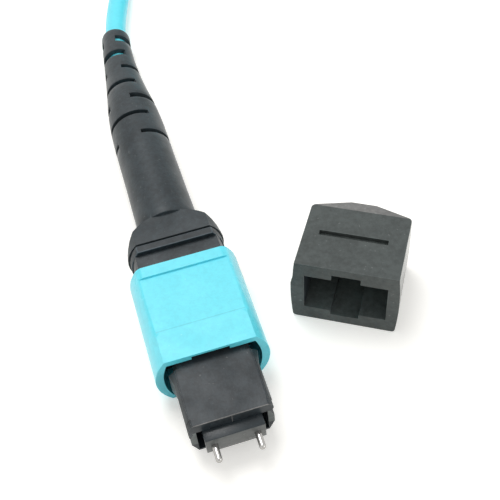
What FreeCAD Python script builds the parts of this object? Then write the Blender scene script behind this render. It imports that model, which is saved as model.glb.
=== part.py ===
import FreeCAD, Part
import math
import os

import Sketcher

# Multi-fibre push-on (MPO) plug on a round cable, with its dust cap lying beside it.
# Millimetres. X runs across the plug, +Y to the cable, +Z up, and the table is Z = 0.
# The origin is the middle of the coupling sleeve's underside. The plug lies on its key side.
# Every moulded piece has its own frame: Z back along the plug, Y towards the key side.

doc = FreeCAD.newDocument("mpo_connector")
Vector = FreeCAD.Vector

SIZES = [
    # coupling sleeve
    ("sleeve_length", 12.95),
    ("sleeve_height", 7.5),
    ("sleeve_width", 12.7),
    ("sleeve_flat", 10.1),
    ("sleeve_wall", 0.85),
    ("mouth_depth", 5.2),
    ("mouth_gap", 0.35),
    ("slide_gap", 0.06),
    ("notch_width", 4.2),
    ("notch_depth", 0.45),
    ("panel_front", 3.9),
    ("panel_rear", 1.45),
    ("panel_depth", 0.12),
    ("lug_length", 1.2),
    ("lug_gap", 0.05),
    # inner housing
    ("nose_reach", 7.45),
    ("nose_width", 9.2),
    ("nose_chamfer", 0.5),
    ("underside_chamfer", 0.75),
    ("underside_chamfer_rise", 1.35),
    ("tip_length", 0.85),
    ("tip_inset", 0.17),
    ("housing_height", 5.3),
    ("housing_flat", 9.8),
    ("latch_station", 7.0),
    ("latch_length", 3.6),
    ("neck_width", 8.4),
    ("latch_round", 0.25),
    ("pull_gap", 2.6),
    ("key_width", 3.0),
    ("key_height", 0.6),
    ("key_station", 2.6),
    ("key_length", 6.3),
    ("relief_width", 0.45),
    ("relief_depth", 2.6),
    ("relief_floor", 0.3),
    ("cavity_side", 0.2),
    ("cavity_rise", 0.35),
    ("groove_wall", 0.4),
    ("groove_height", 1.7),
    ("groove_end", 1.6),
    ("window_width", 3.2),
    ("window_length", 1.5),
    ("window_setback", 1.0),
    # ferrule group
    ("ferrule_width", 6.4),
    ("ferrule_height", 2.5),
    ("ferrule_length", 8.0),
    ("ferrule_proud", 1.32),
    ("ferrule_gap", 0.05),
    ("seat_width", 7.1),
    ("seat_height", 3.0),
    ("seat_length", 2.0),
    ("glue_width", 3.0),
    ("glue_length", 1.8),
    ("glue_wall", 0.6),
    ("pin_pitch", 4.6),
    ("pin_diameter", 0.698),
    ("pin_gap", 0.011),
    ("pin_reach", 1.95),
    ("pin_short", 0.1),
    ("pin_neck", 0.5),
    ("pin_taper", 0.004),
    ("pin_taper_lead", 0.02),
    ("keeper_length", 2.0),
    ("seal_width", 3.5),
    ("seal_height", 1.6),
    ("seal_length", 5.0),
    ("seal_depth", 3.0),
    ("seal_gap", 0.03),
    ("ribbon_width", 3.0),
    ("ribbon_height", 0.3),
    ("bundle_diameter", 1.4),
    ("gather_width", 0.94),
    # springs
    ("main_spring_width", 6.0),
    ("main_spring_height", 3.3),
    ("main_spring_wire", 0.5),
    ("main_spring_turns", 5.0),
    ("side_spring_diameter", 1.2),
    ("side_spring_wire", 0.26),
    ("side_spring_turns", 8.0),
    ("spring_gap", 0.05),
    # spring push
    ("plug_length", 7.0),
    ("plug_gap", 0.05),
    ("tooth_length", 1.3),
    ("tooth_gap", 0.1),
    ("collar_length", 1.15),
    ("collar_width", 11.3),
    ("collar_height", 6.5),
    ("collar_flat", 9.0),
    ("barrel_diameter", 4.6),
    ("barrel_length", 8.5),
    ("barrel_bore", 2.4),
    ("way_height", 2.2),
    ("way_swell", 0.3),
    ("rib_pitch", 1.2),
    ("rib_depth", 0.18),
    # crimp, yarn and cable
    ("yarn_thickness", 0.2),
    ("ring_wall", 0.4),
    ("ring_start", 0.4),
    ("ring_tail", 4.0),
    ("fit_gap", 0.02),
    ("cable_diameter", 3.0),
    ("jacket_gap", 0.3),
    # boot
    ("hood_height", 6.6),
    ("hood_width", 11.5),
    ("hood_flat", 8.8),
    ("hood_length", 3.8),
    ("boot_diameter", 7.5),
    ("boot_tip", 4.0),
    ("boot_length", 42.8),
    ("boot_step", 3.4),
    ("taper_start", 16.3),
    ("taper_end", 40.8),
    ("slot_start", 17.7),
    ("slot_pitch", 3.75),
    ("slot_width", 0.9),
    ("slot_angle", 142.0),
    ("slot_core", 0.35),
    ("boot_gap", 0.05),
    # dust cap
    ("cap_width", 12.1),
    ("cap_corner", 11.6),
    ("cap_height", 9.35),
    ("cap_rear_height", 8.25),
    ("cap_length", 9.6),
    ("cap_dome", 1.75),
    ("cap_dome_drop", 0.55),
    ("cap_dome_width", 3.0),
    ("cap_dome_flat", 2.8),
    ("cap_depth", 8.6),
    ("cap_gap", 0.07),
    ("cap_key_gap", 0.15),
    ("grip_width", 7.9),
    ("grip_length", 0.65),
    ("grip_depth", 0.6),
    ("grip_station", 5.35),
    ("cap_turn", 31.3),
    ("cap_across", 16.11),
    ("cap_along", 3.41),
    # put-away coil
    ("coil_diameter", 34.0),
    ("coil_band", 9.0),
    ("coil_across", 24.0),
    ("coil_along", 86.5),
    ("coil_corner", 1.5),
    ("tie_width", 4.0),
    ("tie_wall", 0.5),
]

# The cable's route from the crimp ring, through the boot and along the table to the coil.
CABLE_ROUTE = [
    (0.0, 19.1, 3.75),
    (0.0, 31.5, 3.74),
    (0.35, 45.5, 3.1),
    (1.4, 56.0, 1.95),
    (5.2, 68.0, 1.54),
    (5.0, 77.0, 1.53),
    (4.0, 87.5, 1.52),
]

RIB_COUNT = 5
SLOT_COUNT = 7
SLOT_LEAN = 45
BOOT_SECTIONS = 9
SPRING_POINTS = 10
SPRING_EASE = 0.6
WIRE_SIDES = 6

sheet = doc.addObject("Spreadsheet::Sheet", "sizes")
sheet.Label = "sizes"
for row, (alias, size) in enumerate(SIZES, start=1):
    sheet.set("A%d" % row, alias)
    sheet.set("B%d" % row, str(size))
    sheet.setAlias("B%d" % row, alias)
doc.recompute()

gauge = doc.addObject("App::FeaturePython", "gauge")
gauge.addProperty("App::PropertyFloat", "reading")


def formula(text):
    """The same formula with every size's name pointing at its cell."""
    words = []
    for word in text.replace("(", " ( ").replace(")", " ) ").split():
        words.append("sizes." + word if word[0].isalpha() else word)
    return " ".join(words)


def number(text):
    """A formula's present value."""
    gauge.setExpression("reading", formula(text))
    gauge.recompute()
    return float(gauge.reading)


# Places and sizes that several pieces share.
HOUSING_LENGTH = "( nose_reach + sleeve_length + pull_gap )"
AXIS_HEIGHT = "( sleeve_height / 2 )"
NOSE_Y = "( 0 - sleeve_length / 2 - nose_reach )"
COLLAR_Y = "( sleeve_length / 2 + pull_gap )"
BOOT_Y = "( sleeve_length / 2 + pull_gap + collar_length )"
SIDE_INNER = "( sleeve_width / 2 - sleeve_wall )"
BODY_SIDE = "( sleeve_width / 2 - sleeve_wall - slide_gap )"
CAVITY_WIDTH = "( seat_width + 2 * cavity_side )"
CAVITY_HEIGHT = "( seat_height + 2 * cavity_rise )"
GROOVE_START = "( nose_reach + mouth_depth - lug_length - lug_gap )"
GROOVE_X = "( seat_width / 2 + cavity_side + groove_wall )"
FERRULE_REAR = "( ferrule_length - ferrule_proud )"
SPRING_SEAT = "( nose_reach + sleeve_length + pull_gap - plug_length )"
WINDOW_STATION = "( nose_reach + sleeve_length + pull_gap - plug_length + window_setback )"
GLUE_STATION = "( ferrule_length - seal_depth - glue_wall - glue_length )"
YARN_RADIUS = "( barrel_diameter / 2 + fit_gap + yarn_thickness )"
RING_BORE = "( barrel_diameter / 2 + 2 * fit_gap + yarn_thickness )"
RING_RADIUS = "( barrel_diameter / 2 + 2 * fit_gap + yarn_thickness + ring_wall )"
JACKET_START = "( collar_length + barrel_length + jacket_gap )"


def new_body(name, along):
    """A body whose own Z runs back along the plug from the place given by a formula."""
    body = doc.addObject("PartDesign::Body", name)
    body.Label = name
    body.Placement = FreeCAD.Placement(Vector(0, 0, 0), FreeCAD.Rotation(Vector(1, 0, 0), -90))
    body.setExpression("Placement.Base.y", formula(along))
    body.setExpression("Placement.Base.z", formula(AXIS_HEIGHT))
    return body


def new_sketch(body, name, station="0", role="XY_Plane"):
    """An empty sketch on one of the body's own planes, moved out along the plane's normal."""
    sketch = body.newObject("Sketcher::SketchObject", name)
    plane = [item for item in body.Origin.OriginFeatures if item.Role == role][0]
    sketch.AttachmentSupport = [(plane, "")]
    sketch.MapMode = "FlatFace"
    sketch.setExpression("AttachmentOffset.Base.z", formula(station))
    return sketch


def hold(sketch, kind, geometry, point, text):
    """Fix one coordinate of a point, or a radius, to a formula."""
    if kind == "Radius":
        index = sketch.addConstraint(Sketcher.Constraint(kind, geometry, number(text)))
    else:
        index = sketch.addConstraint(
            Sketcher.Constraint(kind, -1, 1, geometry, point, number(text)))
    sketch.setExpression("Constraints[%d]" % index, formula(text))


def outline(sketch, corners, arcs=()):
    """A closed outline through corners given as formulas.

    arcs holds (side, radius formula, bulge): the side that starts at that corner is an arc,
    bulging to the left (+1) or the right (-1) of its own direction.
    """
    bends = {side: (radius, bulge) for side, radius, bulge in arcs}
    places = [Vector(number(x), number(y), 0) for x, y in corners]
    ends = []
    for side, start in enumerate(places):
        finish = places[(side + 1) % len(places)]
        if side not in bends:
            index = sketch.addGeometry(Part.LineSegment(start, finish))
            ends.append((index, 1, 2))
            continue
        radius, bulge = bends[side]
        chord = finish - start
        across = Vector(-chord.y, chord.x, 0)
        across.normalize()
        reach = number(radius)
        sagitta = reach - math.sqrt(max(reach * reach - (chord.Length / 2) ** 2, 0.0))
        middle = (start + finish) / 2 + across * (bulge * sagitta)
        index = sketch.addGeometry(Part.Arc(start, middle, finish))
        begins = sketch.getPoint(index, 1).distanceToPoint(start) < 1e-6
        ends.append((index, 1, 2) if begins else (index, 2, 1))
    for side, (index, first, last) in enumerate(ends):
        after = ends[(side + 1) % len(ends)]
        sketch.addConstraint(Sketcher.Constraint("Coincident", index, last, after[0], after[1]))
        hold(sketch, "DistanceX", index, first, corners[side][0])
        hold(sketch, "DistanceY", index, first, corners[side][1])
        if side in bends:
            hold(sketch, "Radius", index, 0, bends[side][0])
    return sketch


def box_outline(sketch, half_width, top, bottom, middle="0"):
    """A rectangle about a line X = middle, between two Y formulas."""
    left = "( %s ) - ( %s )" % (middle, half_width)
    right = "( %s ) + ( %s )" % (middle, half_width)
    return outline(sketch, [(left, top), (right, top), (right, bottom), (left, bottom)])


def circle(sketch, radius, across="0"):
    """A circle on the X axis of a sketch."""
    place = Vector(number(across), 0, 0)
    index = sketch.addGeometry(Part.Circle(place, Vector(0, 0, 1), number(radius)))
    hold(sketch, "DistanceX", index, 3, across)
    hold(sketch, "DistanceY", index, 3, "0")
    hold(sketch, "Radius", index, 0, radius)
    return sketch


def arc_radius(rise, swell):
    """The radius of a side that swells out over a rise each side of its middle."""
    return "( ( %s ) ^ 2 + ( %s ) ^ 2 ) / ( 2 * ( %s ) )" % (rise, swell, swell)


def lobed_outline(sketch, rise, flat, side):
    """Flat top and underside joined by sides that swell outwards; all half sizes."""
    radius = arc_radius(rise, "( %s ) - ( %s )" % (side, flat))
    minus_flat = "0 - ( %s )" % flat
    minus_rise = "0 - ( %s )" % rise
    corners = [(minus_flat, minus_rise), (flat, minus_rise), (flat, rise), (minus_flat, rise)]
    return outline(sketch, corners, [(1, radius, -1), (3, radius, -1)])


def pad(body, name, sketch, length):
    """Material from a sketch back along the body's Z."""
    feature = body.newObject("PartDesign::Pad", name)
    feature.Profile = sketch
    feature.setExpression("Length", formula(length))
    return feature


def pocket(body, name, sketch, length):
    """A cut from a sketch back along the body's Z."""
    feature = body.newObject("PartDesign::Pocket", name)
    feature.Profile = sketch
    feature.Reversed = True
    feature.setExpression("Length", formula(length))
    return feature


def revolve(body, name, sketch, kind="PartDesign::Revolution"):
    """A full turn of a sketch about the sketch's upright axis."""
    feature = body.newObject(kind, name)
    feature.Profile = sketch
    feature.ReferenceAxis = (sketch, ["V_Axis"])
    feature.Angle = 360.0
    return feature


def edges_where(feature, test):
    """The names of a feature's edges whose middle points pass a test."""
    names = []
    for index, edge in enumerate(feature.Shape.Edges, start=1):
        middle = edge.valueAt((edge.FirstParameter + edge.LastParameter) / 2)
        if test(edge, middle):
            names.append("Edge%d" % index)
    return names


def dress(body, kind, name, base, names, size):
    """A fillet or a chamfer on the named edges of the body's last feature."""
    feature = body.newObject(kind, name)
    feature.Base = (base, names)
    prop = "Radius" if kind == "PartDesign::Fillet" else "Size"
    feature.setExpression(prop, formula(size))
    return feature


def coupling_sleeve():
    """The outer shell that is pulled back to free the plug."""
    body = new_body("coupling_sleeve", "0 - sleeve_length / 2")
    shell = lobed_outline(new_sketch(body, "shell_outline"),
                          "sleeve_height / 2", "sleeve_flat / 2", "sleeve_width / 2")
    pad(body, "shell", shell, "sleeve_length")
    mouth = lobed_outline(new_sketch(body, "mouth_outline"),
                          "housing_height / 2 + mouth_gap", "housing_flat / 2", SIDE_INNER)
    pocket(body, "mouth", mouth, "mouth_depth")
    guide = lobed_outline(new_sketch(body, "guide_outline"),
                          "housing_height / 2 + slide_gap", "housing_flat / 2", SIDE_INNER)
    pocket(body, "guide", guide, "sleeve_length")
    notch = "housing_height / 2 + mouth_gap + notch_depth"
    keyway = box_outline(new_sketch(body, "keyway_outline"), "notch_width / 2",
                         "0 - ( %s )" % notch, notch)
    pocket(body, "keyway", keyway, "mouth_depth")
    panel = box_outline(new_sketch(body, "panel_outline", "panel_front"), "sleeve_flat / 2",
                        "0 - sleeve_height", "panel_depth - sleeve_height / 2")
    pocket(body, "panel", panel, "sleeve_length - panel_front - panel_rear")
    for side, sign in (("left", "-1"), ("right", "1")):
        inner = "( %s ) + spring_gap" % GROOVE_X
        middle = "%s * ( ( %s ) + ( %s ) + sleeve_wall / 2 ) / 2" % (sign, inner, SIDE_INNER)
        half = "( ( %s ) + sleeve_wall / 2 - ( %s ) ) / 2" % (SIDE_INNER, inner)
        rise = "groove_height / 2 - lug_gap"
        sketch = new_sketch(body, "lug_outline_" + side, "mouth_depth - lug_length")
        box_outline(sketch, half, "0 - ( %s )" % rise, rise, middle)
        pad(body, "lug_" + side, sketch, "lug_length")
    return body


def inner_housing():
    """The nose that enters the adapter, with its latch neck and the wide body behind it."""
    body = new_body("inner_housing", NOSE_Y)
    rise = "housing_height / 2"
    guide = lobed_outline(new_sketch(body, "body_outline", "latch_station + latch_length"),
                          rise, "housing_flat / 2", BODY_SIDE)
    pad(body, "wide_body", guide, "( %s ) - latch_station - latch_length" % HOUSING_LENGTH)

    def nose_outline(name, station, half, low_chamfer):
        deep = "( %s ) - underside_chamfer_rise" % rise
        corners = [
            ("nose_chamfer - ( %s )" % half, "0 - ( %s )" % rise),
            ("( %s ) - nose_chamfer" % half, "0 - ( %s )" % rise),
            (half, "nose_chamfer - ( %s )" % rise),
            (half, deep),
            ("( %s ) - %s" % (half, low_chamfer), rise),
            ("%s - ( %s )" % (low_chamfer, half), rise),
            ("0 - ( %s )" % half, deep),
            ("0 - ( %s )" % half, "nose_chamfer - ( %s )" % rise),
        ]
        return outline(new_sketch(body, name, station), corners)

    low = "underside_chamfer"
    tip = nose_outline("tip_outline", "0", "nose_width / 2 - tip_inset", low)
    pad(body, "tip", tip, "tip_length")
    nose = nose_outline("nose_outline", "tip_length", "nose_width / 2", low)
    pad(body, "nose", nose, "latch_station - tip_length")
    neck = nose_outline("neck_outline", "latch_station", "neck_width / 2", low)
    pad(body, "latch_neck", neck, "latch_length")
    key = box_outline(new_sketch(body, "key_outline", "key_station"), "key_width / 2",
                      "0", "housing_height / 2 + key_height")
    pad(body, "key", key, "key_length")
    bore = box_outline(new_sketch(body, "bore_outline"), "ferrule_width / 2 + ferrule_gap",
                       "0 - ferrule_height / 2 - ferrule_gap", "ferrule_height / 2 + ferrule_gap")
    pocket(body, "ferrule_bore", bore, "ferrule_length")
    relief = box_outline(new_sketch(body, "relief_outline"),
                         "ferrule_width / 2 + ferrule_gap + relief_width",
                         "0 - ferrule_height / 2 - ferrule_gap", "housing_height / 2 - relief_floor")
    pocket(body, "side_reliefs", relief, "relief_depth")
    cavity = box_outline(new_sketch(body, "cavity_outline", "%s - seat_length" % FERRULE_REAR),
                         "%s / 2" % CAVITY_WIDTH, "0 - %s / 2" % CAVITY_HEIGHT,
                         "%s / 2" % CAVITY_HEIGHT)
    pocket(body, "cavity", cavity, HOUSING_LENGTH)
    window = box_outline(new_sketch(body, "window_outline", WINDOW_STATION), "window_width / 2",
                         "0 - housing_height", "housing_height")
    pocket(body, "windows", window, "window_length")
    for side, sign in (("left", "-1"), ("right", "1")):
        middle = "%s * ( ( %s ) + sleeve_width / 2 ) / 2" % (sign, GROOVE_X)
        half = "( sleeve_width / 2 - ( %s ) ) / 2" % GROOVE_X
        groove = box_outline(new_sketch(body, "groove_outline_" + side, GROOVE_START), half,
                             "0 - groove_height / 2", "groove_height / 2", middle)
        pocket(body, "groove_" + side, groove, "( %s ) - ( %s ) - groove_end" % (
            HOUSING_LENGTH, GROOVE_START))
    doc.recompute()
    shoulder = number("latch_station")
    side = number("nose_width / 2") - 0.01
    names = edges_where(body.Tip, lambda edge, at: abs(at.z - shoulder) < 0.01 and abs(at.x) > side)
    dress(body, "PartDesign::Fillet", "latch_rounds", body.Tip, names, "latch_round")
    return body


def ferrule():
    """The fibre block: pin bores, a rear pocket for the seal and a glue window on top."""
    body = new_body("ferrule", "%s - ferrule_proud" % NOSE_Y)
    block = box_outline(new_sketch(body, "block_outline"), "ferrule_width / 2",
                        "0 - ferrule_height / 2", "ferrule_height / 2")
    pad(body, "block", block, "ferrule_length")
    seat = box_outline(new_sketch(body, "seat_outline", "ferrule_length - seat_length"),
                       "seat_width / 2", "0 - seat_height / 2", "seat_height / 2")
    pad(body, "seat", seat, "seat_length")
    for side, sign in (("left", "-1"), ("right", "1")):
        hole = circle(new_sketch(body, "bore_outline_" + side), "pin_diameter / 2 + pin_gap",
                      "%s * pin_pitch / 2" % sign)
        pocket(body, "pin_bore_" + side, hole, "ferrule_length")
    rear = box_outline(new_sketch(body, "seal_outline", "ferrule_length - seal_depth"),
                       "seal_width / 2 + seal_gap", "0 - seal_height / 2 - seal_gap",
                       "seal_height / 2 + seal_gap")
    pocket(body, "seal_pocket", rear, "seal_depth")
    slot = box_outline(new_sketch(body, "fibre_outline", "%s - glue_length / 2" % GLUE_STATION),
                       "ribbon_width / 2 + seal_gap", "0 - ribbon_height / 2 - seal_gap",
                       "ribbon_height / 2 + seal_gap")
    pocket(body, "fibre_slot", slot, "ferrule_length")
    glue = box_outline(new_sketch(body, "glue_outline", GLUE_STATION), "glue_width / 2",
                       "0 - ferrule_height", "0 - ribbon_height / 2")
    pocket(body, "glue_window", glue, "glue_length")
    return body


def glue_plug():
    """The cured glue that fills the ferrule's window."""
    body = new_body("ferrule_glue", "%s - ferrule_proud + %s" % (NOSE_Y, GLUE_STATION))
    fill = box_outline(new_sketch(body, "glue_outline"), "glue_width / 2",
                       "seal_gap - ferrule_height / 2", "0 - ribbon_height / 2 - seal_gap")
    pad(body, "glue", fill, "glue_length")
    return body


def guide_pin(side, sign):
    """A ground steel pin: a tapered tip, a shank that tapers slightly, a neck at its keeper."""
    body = new_body("guide_pin_" + side, "%s - ferrule_proud - pin_reach" % NOSE_Y)
    body.setExpression("Placement.Base.x", formula("%s * pin_pitch / 2" % sign))
    half = "pin_diameter / 2"
    neck = "pin_neck / 2"
    tip = "pin_diameter / 2"
    grip = "pin_reach + ferrule_length + keeper_length / 2"
    end = "pin_reach + ferrule_length + keeper_length - pin_short"
    shank = "pin_diameter / 2 - pin_taper"
    corners = [
        ("0", "0"),
        ("pin_diameter / 8", "0"),
        (half, tip),
        (half, "pin_reach - pin_taper_lead"),
        (shank, "%s - 0.5 * %s" % (grip, half)),
        (neck, "%s - 0.5 * %s" % (grip, half)),
        (neck, "%s + 0.5 * %s" % (grip, half)),
        (half, "%s + 0.5 * %s" % (grip, half)),
        (half, end),
        ("0", end),
    ]
    sketch = outline(new_sketch(body, "pin_profile", "0", "XZ_Plane"), corners)
    revolve(body, "pin", sketch)
    return body


def pin_keeper():
    """The clamp behind the ferrule that holds both pins."""
    body = new_body("pin_keeper", "%s + %s" % (NOSE_Y, FERRULE_REAR))
    block = box_outline(new_sketch(body, "keeper_outline"), "seat_width / 2",
                        "0 - seat_height / 2", "seat_height / 2")
    pad(body, "block", block, "keeper_length")
    opening = box_outline(new_sketch(body, "opening_outline"), "seal_width / 2 + seal_gap",
                          "0 - seat_height", "seal_height / 2 + seal_gap")
    pocket(body, "opening", opening, "keeper_length")
    for side, sign in (("left", "-1"), ("right", "1")):
        hole = circle(new_sketch(body, "hole_outline_" + side), "pin_diameter / 2 + pin_gap",
                      "%s * pin_pitch / 2" % sign)
        pocket(body, "hole_" + side, hole, "keeper_length")
    return body


def fibre_seal():
    """The soft sleeve that guides the ribbon into the back of the ferrule."""
    body = new_body("ferrule_boot", "%s + %s - seal_depth + seal_gap" % (NOSE_Y, FERRULE_REAR))
    block = box_outline(new_sketch(body, "seal_outline"), "seal_width / 2",
                        "0 - seal_height / 2", "seal_height / 2")
    pad(body, "block", block, "seal_length")
    slot = box_outline(new_sketch(body, "slot_outline"), "ribbon_width / 2 + seal_gap",
                       "0 - ribbon_height / 2 - seal_gap", "ribbon_height / 2 + seal_gap")
    pocket(body, "ribbon_slot", slot, "seal_length")
    return body


def fibre_ribbon():
    """The flat ribbon in the ferrule, closing up into the round bundle in the cable."""
    start = "( %s + seal_gap )" % GLUE_STATION
    body = new_body("fibre_ribbon", "%s - ferrule_proud + %s" % (NOSE_Y, start))
    flat_end = "( nose_reach + sleeve_length + pull_gap - plug_length + ferrule_proud - %s )" % start
    flat = box_outline(new_sketch(body, "ribbon_outline"), "ribbon_width / 2",
                       "0 - ribbon_height / 2", "ribbon_height / 2")
    pad(body, "ribbon", flat, flat_end)
    near = box_outline(new_sketch(body, "ribbon_end", flat_end), "ribbon_width / 2",
                       "0 - ribbon_height / 2", "ribbon_height / 2")
    far = box_outline(new_sketch(body, "bundle_start", "%s + plug_length" % flat_end),
                      "gather_width / 2", "0 - gather_width / 2", "gather_width / 2")
    gather = body.newObject("PartDesign::AdditiveLoft", "gather")
    gather.Profile = near
    gather.Sections = [far]
    bundle = circle(new_sketch(body, "bundle_outline", "%s + plug_length" % flat_end),
                    "bundle_diameter / 2")
    pad(body, "bundle", bundle, "collar_length + barrel_length")
    return body


def spring_push():
    """The rear body: a latched plug in the housing, a collar and the ribbed crimp barrel."""
    body = new_body("spring_push", COLLAR_Y)
    collar = lobed_outline(new_sketch(body, "collar_outline"), "collar_height / 2",
                           "collar_flat / 2", "collar_width / 2")
    pad(body, "collar", collar, "collar_length")
    rise = "%s / 2 - plug_gap" % CAVITY_HEIGHT
    plug = box_outline(new_sketch(body, "plug_outline", "0 - plug_length"),
                       "%s / 2 - plug_gap" % CAVITY_WIDTH, "0 - ( %s )" % rise, rise)
    pad(body, "plug", plug, "plug_length")
    first_tooth = "%s + tooth_gap - %s" % (WINDOW_STATION, HOUSING_LENGTH)
    tall = "housing_height / 2 - tooth_gap"
    teeth = box_outline(new_sketch(body, "teeth_outline", first_tooth),
                        "window_width / 2 - tooth_gap", "0 - ( %s )" % tall, tall)
    pad(body, "teeth", teeth, "tooth_length")
    barrel = circle(new_sketch(body, "barrel_outline", "collar_length"), "barrel_diameter / 2")
    pad(body, "barrel", barrel, "barrel_length")
    way = lobed_outline(new_sketch(body, "way_outline", "0 - plug_length"), "way_height / 2",
                        "ribbon_width / 2", "ribbon_width / 2 + way_swell")
    pocket(body, "ribbon_way", way, "plug_length")
    bore = circle(new_sketch(body, "bore_outline", "0 - tooth_gap"), "barrel_bore / 2")
    pocket(body, "barrel_bore", bore, "collar_length + barrel_length + tooth_gap")
    outer = "barrel_diameter / 2"
    inner = "barrel_diameter / 2 - rib_depth"
    start = "collar_length + rib_pitch"
    rib = outline(new_sketch(body, "rib_profile", "0", "XZ_Plane"), [
        (outer, start),
        (outer, "%s + rib_pitch / 2" % start),
        (inner, "%s + 3 * rib_pitch / 8" % start),
        (inner, "%s + rib_pitch / 8" % start),
    ])
    groove = revolve(body, "crimp_groove", rib, "PartDesign::Groove")
    ribs = body.newObject("PartDesign::LinearPattern", "crimp_grooves")
    ribs.Originals = [groove]
    ribs.Direction = (rib, ["V_Axis"])
    ribs.Occurrences = RIB_COUNT
    ribs.setExpression("Length", formula("%d * rib_pitch" % (RIB_COUNT - 1)))
    body.Tip = ribs
    return body


def turned_piece(name, along, corners):
    """A piece turned about the plug's axis from its half section, (radius, station)."""
    body = new_body(name, along)
    revolve(body, "turning", outline(new_sketch(body, "section", "0", "XZ_Plane"), corners))
    return body


def yarn_sleeve():
    """The cable's strength yarn, folded back over the barrel under the crimp ring."""
    inner = "barrel_diameter / 2 + fit_gap"
    end = "collar_length + barrel_length"
    return turned_piece("aramid_yarn", COLLAR_Y, [
        (inner, "collar_length + ring_start"),
        (YARN_RADIUS, "collar_length + ring_start"),
        (YARN_RADIUS, end),
        (inner, end),
    ])


def crimp_ring():
    """The stepped metal ring crimped over the yarn and, at its tail, over the jacket."""
    tail = "cable_diameter / 2 + fit_gap"
    tail_outer = "cable_diameter / 2 + fit_gap + ring_wall"
    start = "collar_length + ring_start"
    step = JACKET_START
    return turned_piece("crimp_ring", COLLAR_Y, [
        (RING_BORE, start),
        (RING_RADIUS, start),
        (RING_RADIUS, "%s - ring_wall" % step),
        (tail_outer, "%s + ring_wall" % step),
        (tail_outer, "%s + ring_tail" % step),
        (tail, "%s + ring_tail" % step),
        (tail, step),
        (RING_BORE, "%s - jacket_gap" % step),
    ])


def coil_points(half_width, half_height, length, turns):
    """Points on an oval helix that starts and ends with nearly closed turns."""
    points = []
    total = int(round(turns * SPRING_POINTS))
    for step in range(total + 1):
        angle = 2 * math.pi * step / SPRING_POINTS
        share = step / total
        eased = share - math.sin(2 * math.pi * share) / (2 * math.pi) * SPRING_EASE
        points.append(Vector(half_width * math.cos(angle), half_height * math.sin(angle),
                             length * eased))
    return points


def wire_spring(name, along, across, width, height, length, turns, wire):
    """A compression spring of fine wire, bent in short runs, between two flat seats."""
    radius = number(wire) / 2
    half_width = number(width) / 2 - radius
    half_height = number(height) / 2 - radius
    run = number(length) - 2 * radius
    points = coil_points(half_width, half_height, run, number(turns))
    spine = Part.makePolygon(points)
    lie = FreeCAD.Placement(points[0], FreeCAD.Rotation(Vector(0, 0, 1), points[1] - points[0]))
    rim = []
    for corner in range(WIRE_SIDES + 1):
        angle = 2 * math.pi * corner / WIRE_SIDES
        rim.append(lie.multVec(Vector(radius * math.cos(angle), radius * math.sin(angle), 0)))
    section = Part.makePolygon(rim)
    spring = doc.addObject("Part::Feature", name)
    spring.Label = name
    spring.Shape = spine.makePipeShell([section], True, False, 1)
    spring.Placement = FreeCAD.Placement(
        Vector(number(across), number(along) + radius, number(AXIS_HEIGHT)),
        FreeCAD.Rotation(Vector(1, 0, 0), -90))
    return spring


def main_spring():
    """The oval spring that pushes the ferrule forward."""
    seat = "%s + %s + keeper_length + spring_gap" % (NOSE_Y, FERRULE_REAR)
    length = "%s - %s - keeper_length - 2 * spring_gap" % (SPRING_SEAT, FERRULE_REAR)
    return wire_spring("main_spring", seat, "0", "main_spring_width", "main_spring_height",
                       length, "main_spring_turns", "main_spring_wire")


def side_spring(side, sign):
    """One of the two springs that push the coupling sleeve forward."""
    across = "%s * ( %s + spring_gap + side_spring_diameter / 2 )" % (sign, GROOVE_X)
    seat = "mouth_depth + spring_gap - sleeve_length / 2"
    length = "sleeve_length + pull_gap - groove_end - mouth_depth - 2 * spring_gap"
    return wire_spring("sleeve_spring_" + side, seat, across, "side_spring_diameter",
                       "side_spring_diameter", length, "side_spring_turns", "side_spring_wire")


def rounded_path(points):
    """Straight runs joined by arcs as large as the runs beside them allow."""
    edges = []
    last = points[0]
    for before, corner, after in zip(points, points[1:], points[2:]):
        into = corner - before
        away = after - corner
        turn = into.getAngle(away)
        reach = 0.45 * min(into.Length, away.Length)
        into.normalize()
        away.normalize()
        start = corner - into * reach
        finish = corner + away * reach
        radius = reach / math.tan(turn / 2)
        inward = away - into
        inward.normalize()
        depth = radius / math.cos(turn / 2) - radius
        edges.append(Part.LineSegment(last, start).toShape())
        edges.append(Part.Arc(start, corner + inward * depth, finish).toShape())
        print("cable bend radius %.1f mm" % radius)
        last = finish
    edges.append(Part.LineSegment(last, points[-1]).toShape())
    return Part.Wire(edges)


def along_path(path, distance):
    """The point and the direction a distance along a path of runs and arcs."""
    for edge in path.Edges:
        if distance <= edge.Length:
            parameter = edge.getParameterByLength(distance)
            return edge.valueAt(parameter), edge.tangentAt(parameter)
        distance -= edge.Length
    edge = path.Edges[-1]
    return edge.valueAt(edge.LastParameter), edge.tangentAt(edge.LastParameter)


def tube(path, radius):
    """A round bar along a path."""
    start, direction = along_path(path, 0.0)
    section = Part.Wire([Part.Circle(start, direction, radius).toShape()])
    return path.makePipeShell([section], True, False)


def disc_at(path, distance, radius):
    """A circle square to the path."""
    place, direction = along_path(path, distance)
    return Part.Wire([Part.Circle(place, direction, radius).toShape()])


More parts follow.
